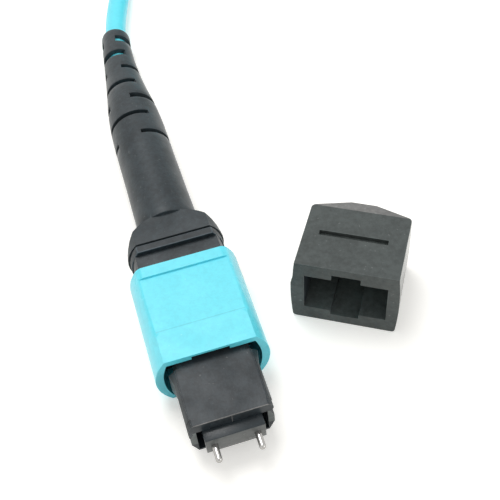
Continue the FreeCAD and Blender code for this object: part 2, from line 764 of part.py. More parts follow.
def boot_hood():
    """The wide front of the boot, round at its back, before the tube is added."""
    body = new_body("boot_hood", BOOT_Y)
    block = lobed_outline(new_sketch(body, "hood_outline"), "hood_height / 2", "hood_flat / 2",
                          "hood_width / 2")
    pad(body, "hood", block, "hood_length")
    sweep = "( ( hood_width / 2 ) ^ 2 + hood_length ^ 2 ) / ( 2 * hood_length )"
    for side, sign in (("left", -1), ("right", 1)):
        edge = "%d * hood_width / 2" % sign
        beyond = "%d * ( hood_width / 2 + boot_gap )" % sign
        corners = [(edge, "0"), ("0", "hood_length"), (beyond, "hood_length"), (beyond, "0")]
        sketch = new_sketch(body, "corner_outline_" + side, "0", "XZ_Plane")
        outline(sketch, corners, [(0, sweep, -sign)])
        corner = body.newObject("PartDesign::Pocket", "corner_" + side)
        corner.Profile = sketch
        corner.Midplane = True
        corner.setExpression("Length", formula("2 * hood_height"))
    return body


def boot_path(route):
    """The boot's own axis: straight back from the collar, then along the cable's route."""
    start = Vector(0, number(COLLAR_Y), number(AXIS_HEIGHT))
    return Part.Wire([Part.LineSegment(start, Vector(*CABLE_ROUTE[0])).toShape()] + route.Edges)


def boot_radius(distance):
    """The boot's outer radius a distance behind the collar: a tube that tapers to its tip."""
    start = number("taper_start")
    share = (distance - start) / (number("taper_end") - start)
    share = min(max(share, 0.0), 1.0)
    eased = share * share * (3 - 2 * share)
    base = number("boot_diameter / 2")
    return base + (number("boot_tip / 2") - base) * eased


def ring_cut(path, distance, middle):
    """A slot part of the way round the boot, open outwards, with a core left uncut."""
    place, direction = along_path(path, distance)
    width = number("slot_width")
    sweep = number("slot_angle")
    outer = boot_radius(distance) + number("slot_width")
    inner = number("cable_diameter / 2 + slot_core")
    turn = FreeCAD.Rotation(Vector(1, 0, 0), Vector(0, 0, 1), direction * -1, "ZXY")
    spin = FreeCAD.Rotation(Vector(0, 0, 1), middle - sweep / 2)
    ring = Part.makeCylinder(outer, width, Vector(0, 0, -width / 2), Vector(0, 0, 1), sweep)
    ring = ring.cut(Part.makeCylinder(inner, width, Vector(0, 0, -width / 2)))
    ring.Placement = FreeCAD.Placement(place, turn * spin)
    return ring


def strain_relief_boot(path):
    """The rubber hood behind the collar and its slotted tube, bent with the cable."""
    seam = number(COLLAR_Y) + number("collar_length")
    offset = number("collar_length")
    block = boot_hood()
    doc.recompute()
    hood = block.Shape.copy()
    block.removeObjectsFromDocument()
    doc.removeObject(block.Name)
    step = number("boot_step")
    length = number("boot_length")
    taper = number("taper_start")
    stations = [step]
    for index in range(BOOT_SECTIONS + 1):
        stations.append(taper + (length - taper) * index / BOOT_SECTIONS)
    sections = [disc_at(path, offset + place, boot_radius(place)) for place in stations]
    shell = Part.makeLoft(sections, True, True)
    solid = hood.fuse(shell)
    gap = number("boot_gap")
    way = tube(path, number("cable_diameter / 2") + gap)
    wide = Part.makeCylinder(number(RING_RADIUS) + gap,
                             number("%s + ring_wall" % JACKET_START) - offset + gap,
                             Vector(0, seam, number(AXIS_HEIGHT)), Vector(0, 1, 0))
    tail = Part.makeCylinder(number("cable_diameter / 2 + fit_gap + ring_wall") + gap,
                             number("%s + ring_tail" % JACKET_START) - offset + gap,
                             Vector(0, seam, number(AXIS_HEIGHT)), Vector(0, 1, 0))
    solid = solid.cut(way).cut(wide).cut(tail)
    cuts = []
    for index in range(SLOT_COUNT):
        distance = number("slot_start") + index * number("slot_pitch")
        lean = SLOT_LEAN if index % 2 == 0 else 180 - SLOT_LEAN
        cuts.append(ring_cut(path, offset + distance, lean))
        cuts.append(ring_cut(path, offset + distance, lean + 180))
    solid = solid.cut(cuts)
    boot = doc.addObject("Part::Feature", "strain_relief_boot")
    boot.Label = "strain_relief_boot"
    boot.Shape = solid.removeSplitter()
    return boot


def dust_cap():
    """The cap that covers the nose in transit, lying on its tapered side."""
    body = doc.addObject("PartDesign::Body", "dust_cap")
    body.Label = "dust_cap"
    side = "cap_width / 2"
    flat = "cap_corner / 2"
    front = lobed_outline(new_sketch(body, "mouth_rim"), "cap_height / 2", flat, side)
    rear = lobed_outline(new_sketch(body, "rear_rim", "cap_length"), "cap_rear_height / 2", flat,
                         side)
    block = body.newObject("PartDesign::AdditiveLoft", "block")
    block.Profile = front
    block.Sections = [rear]
    start = lobed_outline(new_sketch(body, "dome_start", "cap_length"), "cap_rear_height / 2",
                          flat, side)
    finish = lobed_outline(new_sketch(body, "dome_end", "cap_length + cap_dome"),
                           "cap_rear_height / 2 - cap_dome_drop", "cap_dome_flat / 2",
                           "cap_dome_width / 2")
    dome = body.newObject("PartDesign::AdditiveLoft", "dome")
    dome.Profile = start
    dome.Sections = [finish]
    rise = "housing_height / 2 + cap_gap"
    hole = box_outline(new_sketch(body, "hole_outline"), "nose_width / 2 + cap_gap",
                       "0 - ( %s )" % rise, rise)
    pocket(body, "hole", hole, "cap_depth")
    key_rise = "housing_height / 2 + key_height + cap_key_gap"
    keyway = box_outline(new_sketch(body, "keyway_outline"), "key_width / 2 + cap_key_gap",
                         "0 - ( %s )" % key_rise, key_rise)
    pocket(body, "keyways", keyway, "cap_depth - key_station")
    grip = box_outline(new_sketch(body, "grip_outline", "grip_station"), "grip_width / 2",
                       "0 - cap_height", "grip_depth - cap_height / 2")
    pocket(body, "grip", grip, "grip_length")
    lean = math.degrees(math.atan((number("cap_height") - number("cap_rear_height")) / 2
                                  / number("cap_length")))
    lie = FreeCAD.Rotation(Vector(1, 0, 0), -90 - lean)
    yaw = FreeCAD.Rotation(Vector(0, 0, 1), -number("cap_turn"))
    half = number("cap_height") / 2
    lift = half * math.cos(math.radians(lean))
    body.Placement = FreeCAD.Placement(Vector(0, 0, lift), yaw * lie)
    body.setExpression("Placement.Base.x", formula("cap_across"))
    body.setExpression("Placement.Base.y", formula("0 - cap_along"))
    return body


def cable(path):
    """The round cable from the crimp ring to the put-away coil."""
    jacket = doc.addObject("Part::Feature", "cable")
    jacket.Label = "cable"
    jacket.Shape = tube(path, number("cable_diameter") / 2)
    section = math.pi * (number("cable_diameter") / 2) ** 2
    print("cable volume / section x length %.4f" % (jacket.Shape.Volume / section / path.Length))
    return jacket


def band_outline(sketch, floor, grow):
    """The coil's section beside its axis, standing on a floor and grown by a margin."""
    inner = "( coil_diameter / 2 - coil_band / 2 - %s )" % grow
    outer = "( coil_diameter / 2 + coil_band / 2 + %s )" % grow
    top = "( coil_band + %s )" % grow
    return outline(sketch, [
        ("%s + coil_corner" % inner, floor),
        ("%s - coil_corner" % outer, floor),
        (outer, "%s + coil_corner" % floor),
        (outer, "%s - coil_corner" % top),
        ("%s - coil_corner" % outer, top),
        ("%s + coil_corner" % inner, top),
        (inner, "%s - coil_corner" % top),
        (inner, "%s + coil_corner" % floor),
    ])


def coil_body(name):
    """A body on the coil's upright axis."""
    body = doc.addObject("PartDesign::Body", name)
    body.Label = name
    body.Placement = FreeCAD.Placement(Vector(0, 0, 0), FreeCAD.Rotation())
    body.setExpression("Placement.Base.x", formula("coil_across"))
    body.setExpression("Placement.Base.y", formula("coil_along"))
    return body


def part_turn(feature):
    """Limit a turned feature to the tie's own width, both ways from its sketch."""
    feature.Midplane = True
    feature.setExpression("Angle", formula("tie_width / coil_diameter") + " * 360 deg / pi")
    return feature


def cable_coil():
    """The closed outer shape of the cable's put-away coil, pinched where the tie goes under."""
    body = coil_body("cable_coil")
    revolve(body, "band", band_outline(new_sketch(body, "band_section", "0", "XZ_Plane"), "0", "0"))
    inner = "coil_diameter / 2 - coil_band / 2"
    outer = "coil_diameter / 2 + coil_band / 2"
    strip = outline(new_sketch(body, "pinch_section", "0", "XZ_Plane"), [
        ("%s - tie_wall" % inner, "0"),
        ("%s + tie_wall" % outer, "0"),
        ("%s + tie_wall" % outer, "tie_wall + coil_corner"),
        (outer, "tie_wall + coil_corner"),
        ("%s - coil_corner" % outer, "tie_wall"),
        ("%s + coil_corner" % inner, "tie_wall"),
        (inner, "tie_wall + coil_corner"),
        ("%s - tie_wall" % inner, "tie_wall + coil_corner"),
    ])
    part_turn(revolve(body, "pinch", strip, "PartDesign::Groove"))
    return body


def coil_tie():
    """The hook-and-loop band round one side of the coil."""
    body = coil_body("coil_tie")
    outer = band_outline(new_sketch(body, "tie_outer", "0", "XZ_Plane"), "0", "tie_wall")
    part_turn(revolve(body, "band", outer))
    inner = band_outline(new_sketch(body, "tie_inner", "0", "XZ_Plane"), "tie_wall", "0")
    part_turn(revolve(body, "way", inner, "PartDesign::Groove"))
    return body


route = rounded_path([Vector(*place) for place in CABLE_ROUTE])
pieces = [
    coupling_sleeve(),
    inner_housing(),
    ferrule(),
    glue_plug(),
    guide_pin("left", "-1"),
    guide_pin("right", "1"),
    pin_keeper(),
    fibre_seal(),
    fibre_ribbon(),
    main_spring(),
    side_spring("left", "-1"),
    side_spring("right", "1"),
    spring_push(),
    yarn_sleeve(),
    crimp_ring(),
    strain_relief_boot(boot_path(route)),
    dust_cap(),
    cable(route),
    cable_coil(),
    coil_tie(),
]
doc.removeObject(gauge.Name)
doc.recompute()

for item in doc.Objects:
    if "Invalid" in item.State or "Error" in item.State:
        raise RuntimeError("%s did not rebuild" % item.Label)
for piece in pieces:
    if not piece.Shape.isValid() or len(piece.Shape.Solids) != 1:
        raise RuntimeError("%s is not one valid solid" % piece.Label)

os.makedirs("parts", exist_ok=True)
for piece in pieces:
    piece.Shape.exportStep("parts/%s.step" % piece.Label)
    box = piece.Shape.BoundBox
    print("%-20s volume %9.2f  x %7.2f %7.2f  y %7.2f %7.2f  z %6.2f %6.2f" % (
        piece.Label, piece.Shape.Volume, box.XMin, box.XMax, box.YMin, box.YMax,
        box.ZMin, box.ZMax))
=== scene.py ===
import math

import bmesh
import bpy
from mathutils import Matrix, Vector


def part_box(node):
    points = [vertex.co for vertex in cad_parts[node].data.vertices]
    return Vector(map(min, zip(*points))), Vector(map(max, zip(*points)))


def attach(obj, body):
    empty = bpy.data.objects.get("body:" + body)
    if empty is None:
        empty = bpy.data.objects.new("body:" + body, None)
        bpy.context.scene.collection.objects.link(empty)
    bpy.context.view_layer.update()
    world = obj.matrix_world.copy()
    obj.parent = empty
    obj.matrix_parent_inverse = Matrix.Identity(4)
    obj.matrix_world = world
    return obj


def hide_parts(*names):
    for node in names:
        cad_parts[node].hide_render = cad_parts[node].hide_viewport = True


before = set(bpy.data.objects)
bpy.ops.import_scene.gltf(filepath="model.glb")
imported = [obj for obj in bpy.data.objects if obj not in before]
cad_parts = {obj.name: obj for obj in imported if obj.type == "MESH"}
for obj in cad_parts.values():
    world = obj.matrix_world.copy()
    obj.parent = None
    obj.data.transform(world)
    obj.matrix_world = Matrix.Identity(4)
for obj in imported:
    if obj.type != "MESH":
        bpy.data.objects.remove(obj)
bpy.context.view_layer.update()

bl_info = {
    "name": "Multi-fibre push-on connector",
    "version": (1, 0, 0),
    "blender": (4, 5, 0),
    "location": "View3D > Sidebar > Connector",
    "description": "Models the plug, its cable and its dust cap on their CAD frame",
    "category": "Add Mesh",
}

MM = 0.001
NEAR = 0.001 * MM

sleeve_low, sleeve_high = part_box("coupling_sleeve")
nose_low, nose_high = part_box("inner_housing")
ferrule_low, ferrule_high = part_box("ferrule")
pin_low, pin_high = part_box("guide_pin_right")
push_low, push_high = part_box("spring_push")
boot_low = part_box("strain_relief_boot")[0]
coil_low, coil_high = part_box("cable_coil")
tie_low, tie_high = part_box("coil_tie")
AXIS = Vector((0, 0, (sleeve_low.z + sleeve_high.z) / 2))
PIN_OFFSET = 2.3 * MM

CABLE_ROUTE = [
    (0.0, 0.0191, 0.00375),
    (0.0, 0.0315, 0.00374),
    (0.00035, 0.0455, 0.0031),
    (0.0014, 0.056, 0.00195),
    (0.0052, 0.068, 0.00154),
    (0.005, 0.077, 0.00153),
]
COIL_STEPS = 16
COIL_TURNS = 8.7
TIE_WALL = 0.5 * MM

# Distances behind the collar in mm, each with its share of the way from wide end to tip
BOOT_TAPER = ((3.4, 0.0), (9, 0.06), (14, 0.09), (19, 0.1), (21.5, 0.12), (24.3, 0.22),
              (26.3, 0.33), (28.2, 0.48), (30.2, 0.62), (32.2, 0.73), (35, 0.85), (37, 0.92),
              (39.5, 0.97), (42.8, 1.0))
# Each slot ring's width as a share of the slot width
SLOT_SHARES = (0.72, 0.8, 1.1, 0.95, 0.9, 1.55, 1.6)
# Degrees round the boot: the middle of a ring's first slot, by turns, and a slot's reach
SLOT_TURNS = (153, 63)
SLOT_SPAN = 120
HOOD_TOP = 7.05 * MM

LIGHT_AIM = Vector((0, 0.01, 0))
CAMERA_PLACE = (-0.00544, -0.05754, 0.08974)
# Azimuth, elevation and roll in degrees
CAMERA_TURNS = (-11.951, 52.245, -6.12)
CAMERA_LENS = 66.197


def clear_selection():
    if bpy.context.object and bpy.context.object.mode != "OBJECT":
        bpy.ops.object.mode_set(mode="OBJECT")
    bpy.ops.object.select_all(action="DESELECT")


def work_on(piece):
    """Make one piece the only one selected and the active one."""
    clear_selection()
    piece.select_set(True)
    bpy.context.view_layer.objects.active = piece


def fix_place(piece):
    """Move the piece's place, turn and scale into its mesh."""
    work_on(piece)
    bpy.ops.object.transform_apply(location=True, rotation=True, scale=True)
    return piece


def block(name, low, high):
    """A box between two corners, ready to be shaped."""
    clear_selection()
    low, high = Vector(low), Vector(high)
    bpy.ops.mesh.primitive_cube_add(size=1, location=(low + high) / 2)
    piece = bpy.context.object
    piece.name = piece.data.name = name
    piece.scale = high - low
    return fix_place(piece)


def middle_block(name, half, start, end, low, high):
    """A box along Y, as wide on the left of the plug's middle as on its right."""
    return block(name, (-half, start, low), (half, end, high))


def bar(name, radius, start, end, at=AXIS, sides=48):
    """A round bar along Y between two stations."""
    clear_selection()
    middle = Vector((at.x, (start + end) / 2, at.z))
    bpy.ops.mesh.primitive_cylinder_add(
        vertices=sides, radius=radius, depth=end - start, location=middle,
        rotation=(math.pi / 2, 0, 0))
    piece = bpy.context.object
    piece.name = piece.data.name = name
    return fix_place(piece)


def edit(piece):
    """Open one piece for editing, with all of its mesh selected."""
    work_on(piece)
    bpy.ops.object.mode_set(mode="EDIT")
    bpy.ops.mesh.select_all(action="SELECT")


def leave():
    """Go back to object mode."""
    bpy.ops.object.mode_set(mode="OBJECT")


def near(first, second):
    """Whether two places are the same but for rounding."""
    return abs(first - second) < NEAR


def span(edge):
    """From one end of an edge to the other."""
    return edge.verts[0].co - edge.verts[1].co


def pick(piece, kind, test):
    """In edit mode, select the vertices, edges or faces whose middle passes a test."""
    bpy.ops.mesh.select_mode(type=kind)
    bpy.ops.mesh.select_all(action="DESELECT")
    mesh = bmesh.from_edit_mesh(piece.data)
    if kind == "FACE":
        mesh.normal_update()
    parts, middle = {
        "VERT": (mesh.verts, lambda vert: vert.co),
        "EDGE": (mesh.edges, lambda edge: (edge.verts[0].co + edge.verts[1].co) / 2),
        "FACE": (mesh.faces, lambda face: face.calc_center_median()),
    }[kind]
    found = [part for part in parts if test(middle(part), part)]
    for part in found:
        part.select_set(True)
    mesh.select_flush_mode()
    bmesh.update_edit_mesh(piece.data)
    return found


def push(piece, test, shift):
    """Move the vertices that pass a test."""
    if pick(piece, "VERT", test):
        bpy.ops.transform.translate(value=shift)


def stretch(piece, test, scale, centre):
    """Scale the vertices that pass a test about a place."""
    pick(piece, "VERT", test)
    bpy.ops.transform.resize(value=scale, center_override=centre)


def slice_at(axis, places):
    """Cut rings round the piece in edit mode, square to an axis."""
    normal = Vector((0, 0, 0))
    normal[axis] = 1
    for place in places:
        bpy.ops.mesh.select_all(action="SELECT")
        bpy.ops.mesh.bisect(plane_co=normal * place, plane_no=normal)


def soften(piece, test, width, segments=3):
    """Round or chamfer the edges that pass a test."""
    if pick(piece, "EDGE", test):
        bpy.ops.mesh.bevel(offset=width, segments=segments, affect="EDGES",
                           clamp_overlap=True)


def apply_modifier(piece, modifier):
    work_on(piece)
    bpy.ops.object.modifier_apply(modifier=modifier.name)


def carve(piece, cutter, operation="DIFFERENCE"):
    """Cut a shape out of a piece, or add it."""
    modifier = piece.modifiers.new("carve", "BOOLEAN")
    modifier.operation = operation
    modifier.solver = "EXACT"
    modifier.object = cutter
    apply_modifier(piece, modifier)
    mesh = cutter.data
    bpy.data.objects.remove(cutter)
    bpy.data.meshes.remove(mesh)


def join(pieces):
    """One piece from several, the first one's name kept."""
    work_on(pieces[0])
    for piece in pieces[1:]:
        piece.select_set(True)
    bpy.ops.object.join()
    return bpy.context.object


def ease_edges(piece, width, segments=2, angle=32, surfaces=(), smooth=32):
    """Round every sharp edge, in the second surface if there is one, and smooth the shading."""
    piece.data.materials.clear()
    for name in surfaces:
        piece.data.materials.append(bpy.data.materials[name])
    modifier = piece.modifiers.new("edge_rounds", "BEVEL")
    if len(surfaces) > 1:
        modifier.material = 1
    modifier.width = width
    modifier.segments = segments
    modifier.limit_method = "ANGLE"
    modifier.angle_limit = math.radians(angle)
    modifier.miter_outer = "MITER_ARC"
    apply_modifier(piece, modifier)
    bpy.ops.object.shade_smooth_by_angle(angle=math.radians(smooth))
    flatten = piece.modifiers.new("flat_faces", "WEIGHTED_NORMAL")
    flatten.keep_sharp = True
    apply_modifier(piece, flatten)


def arc_out(height, rise, swell):
    """How far a swelling side stands out at a height from its middle."""
    radius = (rise * rise + swell * swell) / (2 * swell)
    return math.sqrt(max(radius * radius - height * height, 0.0)) - (radius - swell)


def lobed_block(name, start, end, flat, side, low, high, steps=8):
    """A box along Y whose two sides swell out in an arc, from half width flat to side."""
    piece = middle_block(name, flat, start, end, low, high)
    rise = (high - low) / 2
    middle = (high + low) / 2
    levels = [low + (high - low) * step / steps for step in range(1, steps)]
    edit(piece)
    slice_at(2, levels)
    for level in levels:
        out = arc_out(level - middle, rise, side - flat)
        for sign in (-1, 1):
            push(piece, lambda at, _: near(at.z, level) and at.x * sign > flat * 0.9,
                 (sign * out, 0, 0))
    leave()
    return piece


# Surfaces

def wire(tree, node, values):
    """Set a node's inputs to plain values, or link them to the outputs given."""
    for label, value in values.items():
        if isinstance(value, bpy.types.NodeSocket):
            tree.links.new(value, node.inputs[label])
        else:
            node.inputs[label].default_value = value


def add_node(tree, kind, values=None, **settings):
    """A new node with its settings made and its inputs set or linked."""
    node = tree.nodes.new(kind)
    for name, setting in settings.items():
        setattr(node, name, setting)
    wire(tree, node, values or {})
    return node


def object_coords(tree):
    return add_node(tree, "ShaderNodeTexCoord").outputs["Object"]


def noise(tree, coords, scale, detail, roughness):
    return add_node(tree, "ShaderNodeTexNoise", {
        "Vector": coords, "Scale": scale, "Detail": detail,
        "Roughness": roughness}).outputs["Fac"]


def maths(tree, operation, *values):
    return add_node(tree, "ShaderNodeMath", dict(enumerate(values)),
                    operation=operation).outputs[0]


def spread(tree, value, low, high, out_low=0.0, out_high=1.0):
    """Stretch a value's range."""
    return add_node(tree, "ShaderNodeMapRange", {
        "Value": value, "From Min": low, "From Max": high,
        "To Min": out_low, "To Max": out_high}).outputs[0]


def mixed(tree, factor, first, second):
    """Two colours mixed by a factor."""
    return add_node(tree, "ShaderNodeMix", {0: factor, 6: first, 7: second},
                    data_type="RGBA").outputs[2]


def bump(tree, height, strength, distance):
    return add_node(tree, "ShaderNodeBump", {
        "Height": height, "Strength": strength, "Distance": distance}).outputs["Normal"]


def shade(colour, share):
    """A colour made darker or lighter."""
    return tuple(min(channel * share, 1.0) for channel in colour)


def moulded_group():
    """Grain, drift of tone and dust for moulded plastic and rubber."""
    group = bpy.data.node_groups.new("moulded_surface", "ShaderNodeTree")
    for label, kind, value in (
            ("Coordinates", "Vector", (0, 0, 0)), ("Base", "Color", (0.5, 0.5, 0.5, 1)),
            ("Drift", "Color", (0.4, 0.4, 0.4, 1)), ("Dust", "Color", (0.6, 0.6, 0.6, 1)),
            ("Grain Scale", "Float", 5000.0), ("Dust Level", "Float", 0.7),
            ("Roughness Low", "Float", 0.4), ("Roughness High", "Float", 0.6)):
        group.interface.new_socket(name=label, in_out="INPUT",
                                   socket_type="NodeSocket" + kind).default_value = value
    for label, kind in (("Color", "Color"), ("Roughness", "Float"), ("Height", "Float")):
        group.interface.new_socket(name=label, in_out="OUTPUT",
                                   socket_type="NodeSocket" + kind)
    given = add_node(group, "NodeGroupInput").outputs
    coords = given["Coordinates"]
    wide = noise(group, coords, 260.0, 3.0, 0.5)
    mottle = noise(group, coords, 1500.0, 4.0, 0.7)
    specks = noise(group, coords, 2300.0, 2.0, 0.5)
    drift = spread(group, maths(group, "MULTIPLY_ADD", mottle, 2.0, wide), 1.2, 1.8)
    dust = spread(group, maths(group, "SUBTRACT", specks, given["Dust Level"]),
                  0.0, 0.06, 0.0, 0.5)
    base = mixed(group, drift, given["Base"], given["Drift"])
    add_node(group, "NodeGroupOutput", {
        "Color": mixed(group, dust, base, given["Dust"]),
        "Roughness": spread(group, wide, 0.3, 0.7, given["Roughness Low"],
                            given["Roughness High"]),
        "Height": noise(group, coords, given["Grain Scale"], 3.0, 0.6)})


def fresh_material(name):
    """A new material's node tree and its shader."""
    material = bpy.data.materials.new(name)
    material.use_nodes = True
    return material.node_tree, material.node_tree.nodes["Principled BSDF"]


def moulded_material(name, base, drift, dust=(0.5, 0.5, 0.5), dust_level=0.7, grain=5000.0,
                     height=0.01, rough=(0.4, 0.55), coat=0.0, sheen=0.0):
    """Plastic or rubber from the shared surface group."""
    tree, shader = fresh_material(name)
    surface = add_node(tree, "ShaderNodeGroup", {
        "Coordinates": object_coords(tree), "Base": (*base, 1), "Drift": (*drift, 1),
        "Dust": (*dust, 1), "Dust Level": dust_level, "Grain Scale": grain,
        "Roughness Low": rough[0], "Roughness High": rough[1],
    }, node_tree=bpy.data.node_groups["moulded_surface"]).outputs
    wire(tree, shader, {
        "Base Color": surface["Color"], "Roughness": surface["Roughness"],
        "Normal": bump(tree, surface["Height"], 0.6, height * MM),
        "Specular IOR Level": 0.37, "Coat Weight": coat, "Coat Roughness": 0.25,
        "Sheen Weight": sheen, "Sheen Roughness": 0.4})


def metal_material(name, base, rough, marks_scale, along=(1, 1, 1), rim=0.0):
    """Ground or drawn metal with fine marks, and a painted shade darkening its rim where it
    turns from view, if a share is given for it.
    """
    tree, shader = fresh_material(name)
    mapping = add_node(tree, "ShaderNodeMapping", {
        "Vector": object_coords(tree), "Scale": along}).outputs["Vector"]
    marks = noise(tree, mapping, marks_scale, 5.0, 0.6)
    tone = mixed(tree, marks, (*base, 1), (*shade(base, 0.85), 1))
    if rim:
        # Painted shade: the colour darkens where the surface turns away from view
        facing = add_node(tree, "ShaderNodeLayerWeight", {"Blend": 0.5}).outputs["Facing"]
        tone = mixed(tree, spread(tree, facing, 0.45, 0.75), tone, (*shade(base, rim), 1))
    wire(tree, shader, {
        "Base Color": tone, "Metallic": 1.0, "Roughness": spread(tree, marks, 0.3, 0.7, *rough),
        "Normal": bump(tree, marks, 0.1, 0.0004 * MM)})


def woven_material(name, base, thread, scale):
    """Crossed threads for the tie and the strength yarn."""
    tree, shader = fresh_material(name)
    coords = object_coords(tree)
    weave = maths(tree, "MULTIPLY", *(
        add_node(tree, "ShaderNodeTexWave", {
            "Vector": coords, "Scale": scale, "Distortion": 1.5,
        }, bands_direction=direction).outputs["Fac"] for direction in ("X", "Z")))
    wire(tree, shader, {
        "Base Color": mixed(tree, weave, (*base, 1), (*thread, 1)), "Roughness": 0.85,
        "Normal": bump(tree, weave, 1.0, 0.05 * MM)})


def paint(piece, test, index=1):
    """Give the faces whose middle passes a test another of the piece's surfaces."""
    for face in piece.data.polygons:
        if test(face.center, face.normal):
            face.material_index = index


def dress(piece, surface, body):
    """Give a finished piece its surface if it has none yet and its body."""
    if not piece.data.materials:
        piece.data.materials.append(bpy.data.materials[surface])
    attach(piece, body)


# What a user may change

class ConnectorColours(bpy.types.PropertyGroup):
    sleeve: bpy.props.FloatVectorProperty(
        name="Sleeve", description="Colour of the coupling sleeve and the cable",
        subtype="COLOR", size=3, min=0, max=1, default=(0.134, 0.755, 0.885))
    housing: bpy.props.FloatVectorProperty(
        name="Housing", description="Colour of the nose, the collar and the inner housing",
        subtype="COLOR", size=3, min=0, max=1, default=(0.024, 0.033, 0.039))
    boot: bpy.props.FloatVectorProperty(
        name="Boot", description="Colour of the rubber boot",
        subtype="COLOR", size=3, min=0, max=1, default=(0.02, 0.03, 0.0355))
    cap: bpy.props.FloatVectorProperty(
        name="Cap", description="Colour of the dust cap",
        subtype="COLOR", size=3, min=0, max=1, default=(0.044, 0.053, 0.051))
    ferrule: bpy.props.FloatVectorProperty(
        name="Ferrule", description="Colour of the filled resin ferrule",
        subtype="COLOR", size=3, min=0, max=1, default=(0.022, 0.032, 0.038))


class SleeveSizes(bpy.types.PropertyGroup):
    top_half_width: bpy.props.FloatProperty(
        name="Top half width", description="Half width of the flat top", unit="LENGTH",
        precision=5, default=5.05 * MM)
    mouth_depth: bpy.props.FloatProperty(
        name="Mouth depth", description="How far the wide mouth reaches in", unit="LENGTH",
        precision=5, default=5.2 * MM)
    notch_half_width: bpy.props.FloatProperty(
        name="Notch half width", description="Half width of the key notch in the lip",
        unit="LENGTH", precision=5, default=2.1 * MM)
    panel_depth: bpy.props.FloatProperty(
        name="Panel depth", description="Depth of the sunk panel on top at its rear edge",
        unit="LENGTH", precision=5, default=0.24 * MM)


class BootSizes(bpy.types.PropertyGroup):
    slots: bpy.props.IntProperty(
        name="Slot rings", description="Rings of slots near the tip", default=7, min=1, max=9)
    slot_width: bpy.props.FloatProperty(
        name="Slot width", description="Width of each slot", unit="LENGTH", precision=5,
        default=0.9 * MM)
    slot_pitch: bpy.props.FloatProperty(
        name="Slot pitch", description="From one slot ring to the next", unit="LENGTH",
        precision=5, default=3.75 * MM)
    tip_radius: bpy.props.FloatProperty(
        name="Tip radius", description="Outer radius at the tip", unit="LENGTH", precision=5,
        default=2.04 * MM)


class CapSizes(bpy.types.PropertyGroup):
    turn: bpy.props.FloatProperty(
        name="Turn", description="How far the cap is turned on the table", subtype="ANGLE",
        default=math.radians(-31.3))
    across: bpy.props.FloatProperty(
        name="Across", description="Place of the mouth across the plug", unit="LENGTH",
        precision=5, default=16.11 * MM)
    along: bpy.props.FloatProperty(
        name="Along", description="Place of the mouth along the plug", unit="LENGTH",
        precision=5, default=-3.41 * MM)


class CableSizes(bpy.types.PropertyGroup):
    diameter: bpy.props.FloatProperty(
        name="Diameter", description="Outer diameter of the jacket", unit="LENGTH",
        precision=5, default=3.0 * MM)
    length: bpy.props.FloatProperty(
        name="Length", description="Length of the pigtail behind the crimp ring",
        unit="LENGTH", precision=4, default=1.0)


# Pieces

def coil_points(diameter):
    """Turns stacked three wide and three high, each a little over a diameter from the next."""
    middle = Vector(((coil_low.x + coil_high.x) / 2, (coil_low.y + coil_high.y) / 2, 0))
    mean = (coil_high.x - coil_low.x) / 2 - 1.5 * diameter
    pitch = diameter * 1.012
    first_level, level_share = diameter * 0.507, 0.995
    places = [(1, 0), (0, 0), (-1, 0), (-1, 1), (0, 1), (1, 1), (1, 2), (0, 2), (-1, 2), (-1, 3)]
    # The curve runs inside its points, so they stand this much further out
    widen = 1 / (0.75 + 0.25 * math.cos(2 * math.pi / COIL_STEPS))
    # A turn crosses to the next place near its end, and swings out where it only climbs
    cross_from, cross_over, swing = 0.62, 0.36, 0.38
    points = []
    for step in range(int(COIL_TURNS * COIL_STEPS) + 1):
        turn, share = divmod(step / COIL_STEPS, 1.0)
        here, there = places[int(turn)], places[int(turn) + 1]
        move = min(max((share - cross_from) / cross_over, 0.0), 1.0)
        eased = move * move * (3 - 2 * move)
        bulge = 0.0
        if here[0] == there[0]:
            bulge = swing * math.sin(math.pi * eased) * (1 if here[0] > 0 else -1)
        across = here[0] + (there[0] - here[0]) * eased + bulge
        up = here[1] + (there[1] - here[1]) * eased
        angle = math.pi - 2 * math.pi * step / COIL_STEPS
        over_tie = max(math.cos(angle), 0.0) ** 2 * TIE_WALL
        radius = (mean + across * pitch) * widen
        points.append(middle + Vector((
            radius * math.cos(angle), radius * math.sin(angle),
            first_level + up * pitch * level_share + over_tie)))
    return points


def route_curve(name, points):
    """A smooth open curve through the pull of its points."""
    curve = bpy.data.curves.new(name, "CURVE")
    curve.dimensions = "3D"
    spline = curve.splines.new("NURBS")
    spline.points.add(len(points) - 1)
    for point, place in zip(spline.points, points):
        point.co = (*place, 1)
    spline.order_u = 3
    spline.use_endpoint_u = True
    spline.resolution_u = 8
    piece = bpy.data.objects.new(name, curve)
    bpy.context.scene.collection.objects.link(piece)
    return piece


class FIBRE_OT_cable(bpy.types.Operator):
    """Lay the cable from the crimp ring to its put-away coil, and tie the coil"""

    bl_idname = "fibre.cable"
    bl_label = "Cable and coil"

    def execute(self, context):
        sizes = context.scene.fibre_cable
        cable = route_curve("cable_jacket", CABLE_ROUTE + [
            tuple(place) for place in coil_points(sizes.diameter)])
        cable.data.bevel_depth = sizes.diameter / 2
        cable.data.bevel_resolution = 6
        cable.data.use_fill_caps = True
        dress(cable, "jacket", "plug")
        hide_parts("cable", "cable_coil")

        tie = block("hook_tie", tie_low, tie_high)
        hole = block("tie_hole",
                     (tie_low.x + TIE_WALL, tie_low.y - TIE_WALL, tie_low.z + TIE_WALL),
                     (tie_high.x - TIE_WALL, tie_high.y + TIE_WALL, tie_high.z - TIE_WALL))
        for part, corner in ((tie, 1.9 * MM), (hole, 1.5 * MM)):
            edit(part)
            soften(part, lambda at, edge: abs(span(edge).y) > 0.1 * MM, corner, 6)
            leave()
        carve(tie, hole)
        ease_edges(tie, 0.08 * MM)
        dress(tie, "tie_weave", "plug")
        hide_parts("coil_tie")
        return {"FINISHED"}


